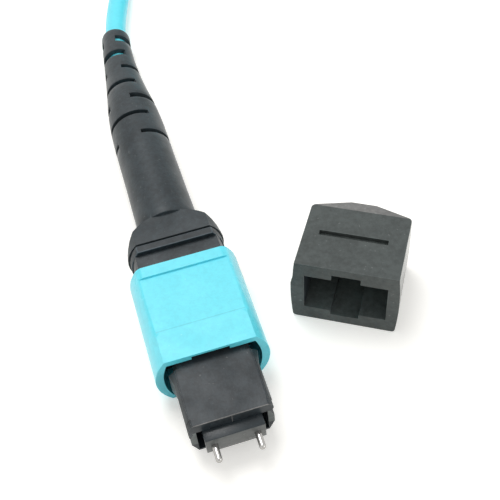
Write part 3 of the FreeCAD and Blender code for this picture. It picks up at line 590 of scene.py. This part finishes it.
class FIBRE_OT_sleeve(bpy.types.Operator):
    """Model the pull-back coupling sleeve"""

    bl_idname = "fibre.sleeve"
    bl_label = "Coupling sleeve"

    def execute(self, context):
        sizes = context.scene.fibre_sleeve
        front, rear = sleeve_low.y, sleeve_high.y
        bottom, top = sleeve_low.z, sleeve_high.z
        half = sizes.top_half_width
        panel_start, panel_end = rear - 9.1 * MM, rear - 1.45 * MM
        # Where a thin line of painted shade runs across the panel floor, just behind its front
        # step
        shade_line_start, shade_line_end = rear - 8.98 * MM, rear - 8.83 * MM
        hollow = (4.9 * MM, 5.5 * MM)
        shell = lobed_block("sleeve_shell", front, rear, half, sleeve_high.x + 0.08 * MM,
                            bottom, top, 12)
        edit(shell)
        slice_at(1, [panel_start])
        soften(shell, lambda at, edge: at.y > panel_start + 0.1 * MM and at.z > top - NEAR
               and abs(at.x) > half - NEAR and abs(span(edge).y) > MM, 0.5 * MM, 4)
        soften(shell, lambda at, edge: abs(span(edge).y) < 0.1 * NEAR
               and (near(at.y, front) or near(at.y, rear))
               and (near(at.z, bottom) or near(at.z, top) or abs(at.x) > half), 0.22 * MM)
        leave()
        panel = middle_block("panel_cut", half + 0.05 * MM, panel_start, panel_end,
                             top - sizes.panel_depth, top + MM)
        edit(panel)
        push(panel, lambda at, _: near(at.y, panel_start) and at.z < top, (0, 0, 0.13 * MM))
        leave()
        mouth_end = front + sizes.mouth_depth
        for cutter in (
                panel,
                lobed_block("mouth_cut", front - MM, mouth_end, *hollow, 0.75 * MM, 6.75 * MM),
                middle_block("notch_cut", sizes.notch_half_width, front - MM, mouth_end,
                             0.3 * MM, 7.2 * MM),
                lobed_block("guide_cut", front + 2 * MM, rear + MM, *hollow, 1.04 * MM,
                            6.46 * MM)):
            carve(shell, cutter)
        edit(shell)
        slice_at(1, [shade_line_start, shade_line_end])
        leave()
        ease_edges(shell, 0.1 * MM, 3, 28, ("sleeve_surface", "sleeve_edge", "sleeve_line"))
        # Painted light: the upper parts of the swelling sides take the lighter second surface,
        # which also lies on the rounded edges as a painted highlight
        paint(shell, lambda at, normal: abs(normal.x) > 0.3 and normal.z > -0.3
              and abs(at.x) > half)
        # Painted shade: the thin darker line on the panel floor behind its front step
        paint(shell, lambda at, normal: shade_line_start < at.y < shade_line_end
              and normal.z > 0.9 and abs(at.x) < half, 2)
        dress(shell, "sleeve_surface", "sleeve")
        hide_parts("coupling_sleeve")
        return {"FINISHED"}


class FIBRE_OT_housing(bpy.types.Operator):
    """Model the nose with the inner housing, and the collar with its barrel"""

    bl_idname = "fibre.housing"
    bl_label = "Nose and collar"

    def execute(self, context):
        self.nose()
        self.collar()
        return {"FINISHED"}

    def nose_part(self, name, start, end, half, low, high):
        """One stretch of the nose, narrower towards its top and its bottom."""
        part = middle_block(name, half, start, end, low, high)
        edit(part)
        slice_at(2, [2.6 * MM, 5.6 * MM])
        for level, draw_in in ((high, 0.36), (low, 0.65)):
            for sign in (-1, 1):
                push(part, lambda at, _: at.x * sign > 0 and near(at.z, level),
                     (-draw_in * sign * MM, 0, 0))
        soften(part, lambda at, edge: near(at.z, high) and abs(at.x) > 3 * MM
               and abs(span(edge).y) > 0.1 * MM, 0.25 * MM, 2)
        if name == "nose_tip":
            soften(part, lambda at, edge: near(at.z, high) and near(at.y, start)
                   and abs(span(edge).x) > MM, 0.13 * MM, 1)
        if name == "nose":
            slice_at(1, [end - 1.3 * MM])
            for sign in (-1, 1):
                push(part, lambda at, _: at.x * sign > 0 and near(at.y, end)
                     and at.z < 5.7 * MM, (0.35 * sign * MM, 0, 0))
            soften(part, lambda at, edge: near(at.y, end) and abs(at.x) > half * 0.9
                   and abs(span(edge).z) > 0.1 * MM, 0.35 * MM, 4)
        leave()
        return part

    def nose(self):
        front, rear = nose_low.y, nose_high.y
        low, high = 1.1 * MM, nose_high.z
        # Each stretch's start and end behind the front, and its half width, in mm
        nose, *rest = [
            self.nose_part(name, front + start * MM, front + end * MM, half * MM, low, high)
            for name, start, end, half in (
                ("nose", 0.85, 7.0, 4.6), ("nose_tip", 0, 0.9, 4.52),
                ("latch_neck", 6.9, 10.7, 4.2))]
        for part in (
                *rest,
                lobed_block("rear_block", front + 10.6 * MM, rear, 4.9 * MM, nose_high.x,
                            low, high),
                middle_block("key", 1.5 * MM, front + 2.6 * MM, front + 8.9 * MM, nose_low.z,
                             low + MM)):
            carve(nose, part, "UNION")
        for cutter in (
                middle_block("ferrule_bore", 3.25 * MM, front - MM, front + 8 * MM,
                             2.45 * MM, 5.05 * MM),
                middle_block("side_reliefs", 3.82 * MM, front - MM, front + 2.6 * MM,
                             1.35 * MM, 5.0 * MM),
                self.side_groove(-1, front), self.side_groove(1, front),
                middle_block("cavity", 3.75 * MM, front + 4.68 * MM, rear + MM, 1.9 * MM,
                             5.6 * MM)):
            carve(nose, cutter)
        for sign in (-1, 1):
            left, right = sorted((sign * 4.15 * MM, sign * 7 * MM))
            carve(nose, block("spring_groove", (left, front + 11.4 * MM, 2.9 * MM),
                              (right, rear - 1.6 * MM, 4.6 * MM)))
        carve(nose, block("mould_seam", (0.06 * MM, front - 0.015 * MM, 5.1 * MM),
                          (0.13 * MM, front + 0.5 * MM, high - 0.12 * MM)), "UNION")
        edit(nose)
        slice_at(2, [4.9 * MM])
        leave()
        ease_edges(nose, 0.08 * MM, 2, 24, ("housing_surface", "housing_edge", "worn_edge"))
        # Painted light: the front faces of the side walls beside the ferrule take the lighter
        # third surface
        paint(nose, lambda at, normal: normal.y < -0.9 and at.y < front + 0.05 * MM
              and abs(at.x) > 3.7 * MM and at.z < 4.8 * MM, 2)
        # Painted highlight: the mould seam and the chamfer along the top front edge take the
        # lighter second surface, as the rounded edges do
        paint(nose, lambda at, normal: at.y < front - 0.004 * MM
              or at.y < front + 0.2 * MM and normal.y < -0.4 and normal.z > 0.4)
        dress(nose, "housing_surface", "plug")
        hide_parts("inner_housing")

    def side_groove(self, sign, front):
        """The cutter of the sharp groove that runs back from the nose's front edge."""
        half = 0.42 * MM
        groove = middle_block("side_groove", half, front - MM, front + 4 * MM, -half, half)
        edit(groove)
        bpy.ops.transform.rotate(value=math.pi / 4, orient_axis="Y",
                                 center_override=(0, front, 0))
        bpy.ops.transform.resize(value=(1, 1, 1.7), center_override=(0, 0, 0))
        bpy.ops.transform.translate(value=(sign * 4.72 * MM, 0, 4.7 * MM))
        leave()
        return groove

    def collar(self):
        seat = nose_high.y
        collar = lobed_block("collar", seat, seat + 0.97 * MM, 4.5 * MM, push_high.x,
                             push_low.z, push_high.z)
        plug = middle_block("plug", 3.7 * MM, push_low.y, seat + 0.2 * MM, 1.95 * MM, 5.55 * MM)
        barrel = bar("barrel", 2.3 * MM, seat + 0.9 * MM, push_high.y)
        carve(collar, plug, "UNION")
        carve(collar, barrel, "UNION")
        carve(collar, bar("fibre_bore", 1.2 * MM, push_low.y - MM, push_high.y + MM, sides=32))
        # Painted highlight: the rounded edges take the lighter second surface
        ease_edges(collar, 0.1 * MM, 2, 28, ("collar_surface", "collar_edge"))
        dress(collar, "collar_surface", "plug")
        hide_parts("spring_push")


class FIBRE_OT_ferrule(bpy.types.Operator):
    """Model the ferrule and its two guide pins"""

    bl_idname = "fibre.ferrule"
    bl_label = "Ferrule and pins"

    def execute(self, context):
        front, rear = ferrule_low.y, ferrule_high.y
        left, right = (Vector((x, 0, AXIS.z)) for x in (-PIN_OFFSET, PIN_OFFSET))
        ferrule = middle_block("ferrule_block", 3.2 * MM, front, rear - MM, 2.5 * MM, 5.0 * MM)
        edit(ferrule)
        soften(ferrule, lambda at, edge: True, 0.07 * MM, 2)
        leave()
        carve(ferrule, block("seat", (ferrule_low.x, rear - 2 * MM, ferrule_low.z),
                             ferrule_high), "UNION")
        for cutter in (
                bar("pin_hole", 0.36 * MM, front - MM, rear + MM, left, 24),
                bar("pin_hole", 0.36 * MM, front - MM, rear + MM, right, 24),
                middle_block("seal_pocket", 1.78 * MM, rear - 3 * MM, rear + MM, 2.92 * MM,
                             4.58 * MM),
                middle_block("glue_window", 1.5 * MM, front + 2.6 * MM, front + 4.4 * MM,
                             3.9 * MM, 6 * MM)):
            carve(ferrule, cutter)
        bpy.ops.object.shade_smooth_by_angle(angle=math.radians(40))
        for surface in ("ferrule_surface", "ferrule_face"):
            ferrule.data.materials.append(bpy.data.materials[surface])
        paint(ferrule, lambda at, normal: normal.y < -0.5)
        dress(ferrule, "ferrule_surface", "ferrule_group")
        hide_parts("ferrule")

        for side, place in (("left", left), ("right", right)):
            pin = bar("pin_" + side, (pin_high.x - pin_low.x) / 2, pin_low.y, pin_high.y,
                      place, 32)
            edit(pin)
            soften(pin, lambda at, edge: near(at.y, pin_low.y), 0.3 * MM, 8)
            pick(pin, "EDGE", lambda at, edge: near(at.y, pin_high.y))
            bpy.ops.mesh.bevel(offset=0.05 * MM, segments=1, affect="EDGES")
            leave()
            bpy.ops.object.shade_smooth_by_angle(angle=math.radians(50))
            dress(pin, "pin_surface", "ferrule_group")
            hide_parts("guide_pin_" + side)
        return {"FINISHED"}


def boot_radius(distance, base, tip):
    """The tube's outer radius a distance behind the collar."""
    for (start, here), (end, there) in zip(BOOT_TAPER, BOOT_TAPER[1:]):
        if distance <= end * MM:
            part = max(distance / MM - start, 0.0) / (end - start)
            return base + (tip - base) * (here + (there - here) * part)
    return tip


class FIBRE_OT_boot(bpy.types.Operator):
    """Model the rubber boot straight, slot it, and bend it along the cable"""

    bl_idname = "fibre.boot"
    bl_label = "Rubber boot"

    def execute(self, context):
        sizes = context.scene.fibre_boot
        seam = boot_low.y
        base, slot_floor = 3.75 * MM, 1.5 * MM
        face, tip = seam + BOOT_TAPER[0][0] * MM, seam + BOOT_TAPER[-1][0] * MM
        tube = bar("boot_tube", base, face, tip, sides=64)
        edit(tube)
        ring_pitch = 1.1 * MM
        places = [face + step * ring_pitch
                  for step in range(1, int((tip - face) / ring_pitch) + 1)]
        slice_at(1, places)
        for place in places + [tip]:
            scale = boot_radius(place - seam, base, sizes.tip_radius) / base
            stretch(tube, lambda at, _: abs(at.y - place) < 0.1 * NEAR, (scale, 1, scale),
                    (0, place, AXIS.z))
        for end, rounding, segments in ((tip, 0.25 * MM, 4), (face, 0.12 * MM, 2)):
            soften(tube, lambda at, edge: abs(at.y - end) < 0.1 * NEAR, rounding, segments)
        leave()
        hood = self.hood(seam)
        carve(hood, tube, "UNION")
        carve(hood, bar("boot_bore", 1.57 * MM, seam + 8 * MM, tip + MM))
        recess = bar("tube_recess", base - 0.13 * MM, face - MM, face + 0.9 * MM, sides=64)
        carve(recess, middle_block("under_hood", base, face - 2 * MM, face + 2 * MM, 0,
                                   HOOD_TOP))
        carve(hood, recess)
        cutters = []
        first_slot = seam + 17.7 * MM
        for index in range(sizes.slots):
            place = first_slot + index * sizes.slot_pitch
            outer = boot_radius(place - seam, base, sizes.tip_radius) + 0.5 * MM
            width = sizes.slot_width * SLOT_SHARES[min(index, len(SLOT_SHARES) - 1)]
            for turn in (0, 180):
                cutters.append(self.slot_cutter(place, slot_floor, outer, width,
                                                SLOT_TURNS[index % 2] + turn))
        carve(hood, join(cutters))
        ease_edges(hood, 0.1 * MM, 2, 40, ("boot_surface", "boot_surface"))
        self.bend(hood, Vector((0, seam, AXIS.z)))
        dress(hood, "boot_surface", "plug")
        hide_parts("strain_relief_boot")
        return {"FINISHED"}

    def hood(self, seam):
        """The wide front of the boot, its rear drawn in to a round back."""
        reach, half = 3.8 * MM, 5.85 * MM
        hood = lobed_block("rubber_boot", seam, seam + reach, 4.4 * MM, half, 0.45 * MM,
                           HOOD_TOP, 10)
        sweep = (half * half + reach * reach) / (2 * reach)
        clear_selection()
        bpy.ops.mesh.primitive_cylinder_add(vertices=128, radius=sweep, depth=12 * MM,
                                            location=(0, seam + reach - sweep, AXIS.z))
        carve(hood, bpy.context.object, "INTERSECT")
        return hood

    def slot_cutter(self, place, inner, outer, width, middle):
        """A ring part about the boot's axis, made by spinning a small face."""
        centre = (0, place, AXIS.z)
        clear_selection()
        bpy.ops.mesh.primitive_plane_add(size=1, location=((inner + outer) / 2, place, AXIS.z))
        cutter = bpy.context.object
        cutter.name = "slot_cut"
        cutter.scale = (outer - inner, width, 1)
        fix_place(cutter)
        edit(cutter)
        bpy.ops.transform.rotate(value=-math.radians(middle - SLOT_SPAN / 2), orient_axis="Y",
                                 center_override=centre)
        bpy.ops.mesh.spin(steps=18, angle=-math.radians(SLOT_SPAN), center=centre,
                          axis=(0, 1, 0))
        bpy.ops.mesh.select_all(action="SELECT")
        bpy.ops.mesh.normals_make_consistent(inside=False)
        leave()
        return cutter

    def bend(self, boot, seat):
        """Bend the straight boot along the cable's route behind its seat."""
        edit(boot)
        bpy.ops.transform.translate(value=-seat)
        bpy.ops.transform.rotate(value=math.pi / 2, orient_axis="Y", center_override=(0, 0, 0))
        leave()
        route = route_curve("boot_bend", [Vector(place) - seat
                                          for place in [seat] + CABLE_ROUTE])
        route.data.resolution_u = 24
        modifier = boot.modifiers.new("bend", "CURVE")
        modifier.object = route
        modifier.deform_axis = "POS_Y"
        apply_modifier(boot, modifier)
        curve = route.data
        bpy.data.objects.remove(route)
        bpy.data.curves.remove(curve)
        boot.location = seat
        fix_place(boot)


class FIBRE_OT_cap(bpy.types.Operator):
    """Model the dust cap and lay it beside the plug"""

    bl_idname = "fibre.cap"
    bl_label = "Dust cap"

    def execute(self, context):
        sizes = context.scene.fibre_cap
        length, height, rear_height, dome = 9.6 * MM, 9.35 * MM, 8.25 * MM, 1.75 * MM
        flat, side = 5.8 * MM, 6.05 * MM
        middle = height / 2
        cap = lobed_block("cap", 0, length, flat, side, 0, height)
        edit(cap)
        stretch(cap, lambda at, _: near(at.y, length), (1, 1, rear_height / height),
                (0, length, middle))
        for sign in (-1, 1):
            stretch(cap, lambda at, _: near(at.y, length) and at.x * sign > flat + 0.01 * MM,
                    (0.3, 1, 1), (sign * flat, 0, 0))
        push(cap, lambda at, _: at.y < 0.1 * MM and at.x < -5 * MM and at.z < 7 * MM,
             (-0.2 * MM, 0, 0))
        pick(cap, "FACE", lambda at, face: near(at.y, length) and face.normal.y > 0.9)
        bpy.ops.mesh.extrude_region_move(TRANSFORM_OT_translate={"value": (0, dome, 0)})
        bpy.ops.transform.resize(value=(0.25, 1, 0.867),
                                 center_override=(0, length + dome, middle))
        soften(cap, lambda at, edge: abs(at.y - length) < 0.1 * MM and abs(at.x) > 5.7 * MM
               and abs(span(edge).z) > abs(span(edge).x), 0.45 * MM)
        soften(cap, lambda at, edge: at.z < 0.6 * MM and abs(at.x) > 5.7 * MM
               and span(edge).length > 5 * MM, 0.35 * MM)
        leave()
        for cutter in (
                middle_block("cap_hole", 4.67 * MM, -MM, 8.6 * MM, middle - 2.72 * MM,
                             middle + 2.72 * MM),
                middle_block("cap_keys", 1.62 * MM, -MM, 6.0 * MM, middle - 3.4 * MM,
                             middle + 3.55 * MM),
                block("cap_grip", (-4.1 * MM, 4.92 * MM, height - 0.9 * MM),
                      (3.75 * MM, 5.66 * MM, height + MM))):
            carve(cap, cutter)
        ease_edges(cap, 0.16 * MM, 3, 24, ("cap_surface", "worn_edge", "cap_sheen", "cap_side",
                                           "collar_surface"), 12)
        # Painted highlight: the dome at the back takes a lighter third surface
        paint(cap, lambda at, normal: at.y > length + 0.05 * MM and normal.z > 0.1, 2)
        paint(cap, lambda at, normal: at.x > 5.7 * MM and normal.x > 0.9, 3)
        # Painted light: the floors inside the cap take the lighter second surface
        paint(cap, lambda at, normal: normal.z > 0.9 and at.z < middle and at.y < 9 * MM)
        # Painted shade: the upright walls inside the cap take the darker collar surface
        paint(cap, lambda at, normal: abs(normal.x) > 0.9 and abs(at.x) < 4.8 * MM
              and at.z < 8 * MM, 4)
        lean = math.atan((height - rear_height) / 2 / length)
        cap.matrix_world = (Matrix.Translation((sizes.across, sizes.along, 0))
                            @ Matrix.Rotation(sizes.turn, 4, "Z")
                            @ Matrix.Rotation(-lean, 4, "X"))
        fix_place(cap)
        dress(cap, "cap_surface", "plug")
        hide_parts("dust_cap")
        return {"FINISHED"}


class FIBRE_OT_surfaces(bpy.types.Operator):
    """Make the materials, and give the inner CAD pieces theirs"""

    bl_idname = "fibre.surfaces"
    bl_label = "Surfaces"

    def execute(self, context):
        colours = context.scene.fibre_colours
        sleeve, housing, boot, cap, ferrule = (
            colours.sleeve, colours.housing, colours.boot, colours.cap, colours.ferrule)
        moulded_group()
        # Name, colour, drift, dust and its level, grain scale and height, roughness, coat, sheen
        for row in (
                ("sleeve_surface", shade(sleeve, 1.03), shade(sleeve, 0.94),
                 (0.4, 0.9, 0.93), 0.72, 3000, 0.02, (0.3, 0.42), 0.1),
                # Lighter surface: painted highlight on the sleeve's edges and painted light on
                # its upper sides
                ("sleeve_edge", shade(sleeve, 1.1), shade(sleeve, 1.0),
                 (0.5, 0.9, 0.92), 0.74, 3000, 0.01, (0.25, 0.35), 0.2),
                # Darker surface: painted shade for the line behind the panel's front step
                ("sleeve_line", shade(sleeve, 0.9), shade(sleeve, 0.83),
                 (0.4, 0.9, 0.93), 0.72, 3000, 0.02, (0.3, 0.42), 0.1),
                ("jacket", shade(sleeve, 1.06), shade(sleeve, 1.0),
                 (0.6, 0.9, 0.92), 0.76, 2000, 0.012, (0.3, 0.42), 0.1),
                ("housing_surface", shade(housing, 1.0), shade(housing, 0.5),
                 (0.12, 0.12, 0.12), 0.7, 3600, 0.03, (0.38, 0.55)),
                # Lighter surface: painted highlight on the nose's edges, its top front chamfer
                # and its mould seam
                ("housing_edge", (0.24, 0.235, 0.228), (0.12, 0.12, 0.118),
                 (0.3, 0.3, 0.28), 0.62, 3600, 0.01, (0.35, 0.5)),
                # The collar's own surface, also used as painted shade on the upright walls
                # inside the cap
                ("collar_surface", shade(housing, 0.9), shade(housing, 0.45),
                 (0.1, 0.1, 0.1), 0.68, 3600, 0.03, (0.42, 0.58)),
                # Lighter surface: painted highlight on the collar's rounded edges
                ("collar_edge", shade(housing, 2.8), shade(housing, 1.8),
                 (0.2, 0.2, 0.2), 0.7, 3600, 0.01, (0.4, 0.5)),
                ("boot_surface", shade(boot, 1.15), shade(boot, 0.6),
                 (0.09, 0.1, 0.1), 0.68, 2400, 0.03, (0.42, 0.6), 0, 0.25),
                ("cap_surface", shade(cap, 1.4), shade(cap, 0.85),
                 (0.22, 0.23, 0.23), 0.695, 2600, 0.035, (0.4, 0.58), 0, 0.25),
                # Lighter surface: wear on the cap's rounded edges, and painted light on the
                # cap's inner floors and on the nose's side wall fronts
                ("worn_edge", shade(cap, 2.5), shade(cap, 1.5),
                 (0.26, 0.27, 0.27), 0.72, 2600, 0.03, (0.4, 0.55), 0, 0.3),
                # Lighter surface: painted highlight on the cap's dome
                ("cap_sheen", (0.2, 0.2, 0.193), (0.14, 0.14, 0.137),
                 (0.26, 0.27, 0.27), 0.62, 2600, 0.03, (0.3, 0.4)),
                ("cap_side", shade(cap, 1.25), shade(cap, 0.75),
                 (0.22, 0.23, 0.23), 0.7, 2600, 0.006, (0.12, 0.24)),
                ("ferrule_surface", shade(ferrule, 0.9), shade(ferrule, 0.7),
                 (0.2, 0.2, 0.2), 0.72, 9000, 0.004, (0.2, 0.3)),
                ("ferrule_face", (0.115, 0.124, 0.122), (0.094, 0.102, 0.1),
                 (0.3, 0.3, 0.3), 0.72, 9000, 0.002, (0.2, 0.3)),
                ("seal_surface", (0.03, 0.03, 0.03), (0.02, 0.02, 0.02)),
                ("glue_surface", (0.45, 0.36, 0.2), (0.4, 0.3, 0.16)),
                ("ribbon", (0.3, 0.6, 0.7), (0.25, 0.5, 0.6),
                 (0.5, 0.5, 0.5), 0.7, 5000, 0.01, (0.2, 0.3))):
            moulded_material(*row)
        metal_material("pin_surface", (0.47, 0.46, 0.445), (0.08, 0.16), 2500, (1, 0.03, 1), 0.2)
        metal_material("spring_surface", (0.6, 0.6, 0.6), (0.2, 0.4), 4000)
        metal_material("ring_surface", (0.72, 0.72, 0.73), (0.25, 0.45), 2500)
        woven_material("tie_weave", (0.012, 0.012, 0.013), (0.05, 0.05, 0.052), 700)
        woven_material("yarn_weave", (0.6, 0.45, 0.1), (0.75, 0.6, 0.2), 1500)
        for node, name in (
                ("pin_keeper", "ring_surface"), ("ferrule_boot", "seal_surface"),
                ("ferrule_glue", "glue_surface"), ("fibre_ribbon", "ribbon"),
                ("main_spring", "spring_surface"), ("sleeve_spring_left", "spring_surface"),
                ("sleeve_spring_right", "spring_surface"), ("aramid_yarn", "yarn_weave"),
                ("crimp_ring", "ring_surface")):
            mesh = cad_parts[node].data
            mesh.materials.clear()
            mesh.materials.append(bpy.data.materials[name])
        return {"FINISHED"}


def area_light(name, place, size, watts):
    """A round soft light turned to the plug."""
    data = bpy.data.lights.new(name, "AREA")
    data.shape = "DISK"
    data.size = size
    data.energy = watts
    lamp = bpy.data.objects.new(name, data)
    lamp.location = place
    lamp.rotation_euler = (LIGHT_AIM - Vector(place)).to_track_quat("-Z", "Y").to_euler()
    bpy.context.scene.collection.objects.link(lamp)


def seen_level(tree, hidden, seen):
    """One level for camera, glossy and transmission rays, another for the light they carry."""
    rays = add_node(tree, "ShaderNodeLightPath").outputs
    total = rays["Is Camera Ray"]
    for ray in ("Is Glossy Ray", "Is Transmission Ray"):
        total = maths(tree, "MAXIMUM", total, rays[ray])
    return spread(tree, total, 0.0, 1.0, hidden, seen)


class FIBRE_OT_stage(bpy.types.Operator):
    """Set the pale floor, the soft studio light and the camera"""

    bl_idname = "fibre.stage"
    bl_label = "Floor, light and camera"

    def execute(self, context):
        clear_selection()
        bpy.ops.mesh.primitive_plane_add(size=3.0, location=(0, 0, -0.02 * MM))
        floor = bpy.context.object
        floor.name = "floor"
        tree, shader = fresh_material("floor_paper")
        wire(tree, shader, {
            "Base Color": (0.9, 0.888, 0.852, 1), "Roughness": 0.9, "Specular IOR Level": 0.1,
            "Emission Color": (1, 0.99, 0.965, 1),
            "Emission Strength": seen_level(tree, 0.0, 0.37)})
        floor.data.materials.append(bpy.data.materials["floor_paper"])

        world = bpy.data.worlds.new("studio")
        context.scene.world = world
        world.use_nodes = True
        tree = world.node_tree
        wire(tree, tree.nodes["Background"], {
            "Color": (1, 1, 1, 1), "Strength": seen_level(tree, 0.53, 1.0)})
        area_light("tent_top", (-0.05, 0.22, 0.5), 0.3, 1.5)
        area_light("tent_front", (0.4, -0.32, 0.22), 0.35, 0.6)
        area_light("tent_left", (-0.45, -0.05, 0.22), 0.4, 0.1)

        azimuth, elevation, roll = (math.radians(turn) for turn in CAMERA_TURNS)
        back_way = Vector((math.sin(azimuth) * math.cos(elevation),
                           -math.cos(azimuth) * math.cos(elevation), math.sin(elevation)))
        level = (-back_way).cross(Vector((0, 0, 1))).normalized()
        upright = level.cross(-back_way)
        right = level * math.cos(roll) + upright * math.sin(roll)
        up = upright * math.cos(roll) - level * math.sin(roll)
        camera = bpy.data.objects.new("camera", bpy.data.cameras.new("camera"))
        camera.data.sensor_width = 36
        camera.data.lens = CAMERA_LENS
        camera.data.clip_start = 0.001
        camera.data.clip_end = 10
        camera.matrix_world = (Matrix.Translation(CAMERA_PLACE)
                               @ Matrix((right, up, back_way)).transposed().to_4x4())
        context.scene.collection.objects.link(camera)
        context.scene.camera = camera
        context.scene.view_settings.view_transform = "Standard"
        return {"FINISHED"}


class FIBRE_PT_panel(bpy.types.Panel):
    """List the connector's sizes, its colours and the steps that build it"""

    bl_label = "Connector"
    bl_idname = "FIBRE_PT_panel"
    bl_space_type = "VIEW_3D"
    bl_region_type = "UI"
    bl_category = "Connector"

    def draw(self, context):
        for name, kind in GROUPS.items():
            for size in kind.__annotations__:
                self.layout.prop(getattr(context.scene, name), size)
        for operator in OPERATORS:
            self.layout.operator(operator.bl_idname)


GROUPS = {
    "fibre_colours": ConnectorColours,
    "fibre_sleeve": SleeveSizes,
    "fibre_boot": BootSizes,
    "fibre_cap": CapSizes,
    "fibre_cable": CableSizes,
}
OPERATORS = [
    FIBRE_OT_surfaces,
    FIBRE_OT_stage,
    FIBRE_OT_cable,
    FIBRE_OT_sleeve,
    FIBRE_OT_housing,
    FIBRE_OT_ferrule,
    FIBRE_OT_boot,
    FIBRE_OT_cap,
]


def register():
    for kind in (*GROUPS.values(), *OPERATORS, FIBRE_PT_panel):
        bpy.utils.register_class(kind)
    for name, kind in GROUPS.items():
        setattr(bpy.types.Scene, name, bpy.props.PointerProperty(type=kind))


def unregister():
    for name in GROUPS:
        delattr(bpy.types.Scene, name)
    for kind in (FIBRE_PT_panel, *OPERATORS, *GROUPS.values()):
        bpy.utils.unregister_class(kind)


def main():
    register()
    for operator in OPERATORS:
        family, name = operator.bl_idname.split(".")
        getattr(getattr(bpy.ops, family), name)()


if __name__ == "__main__":
    main()
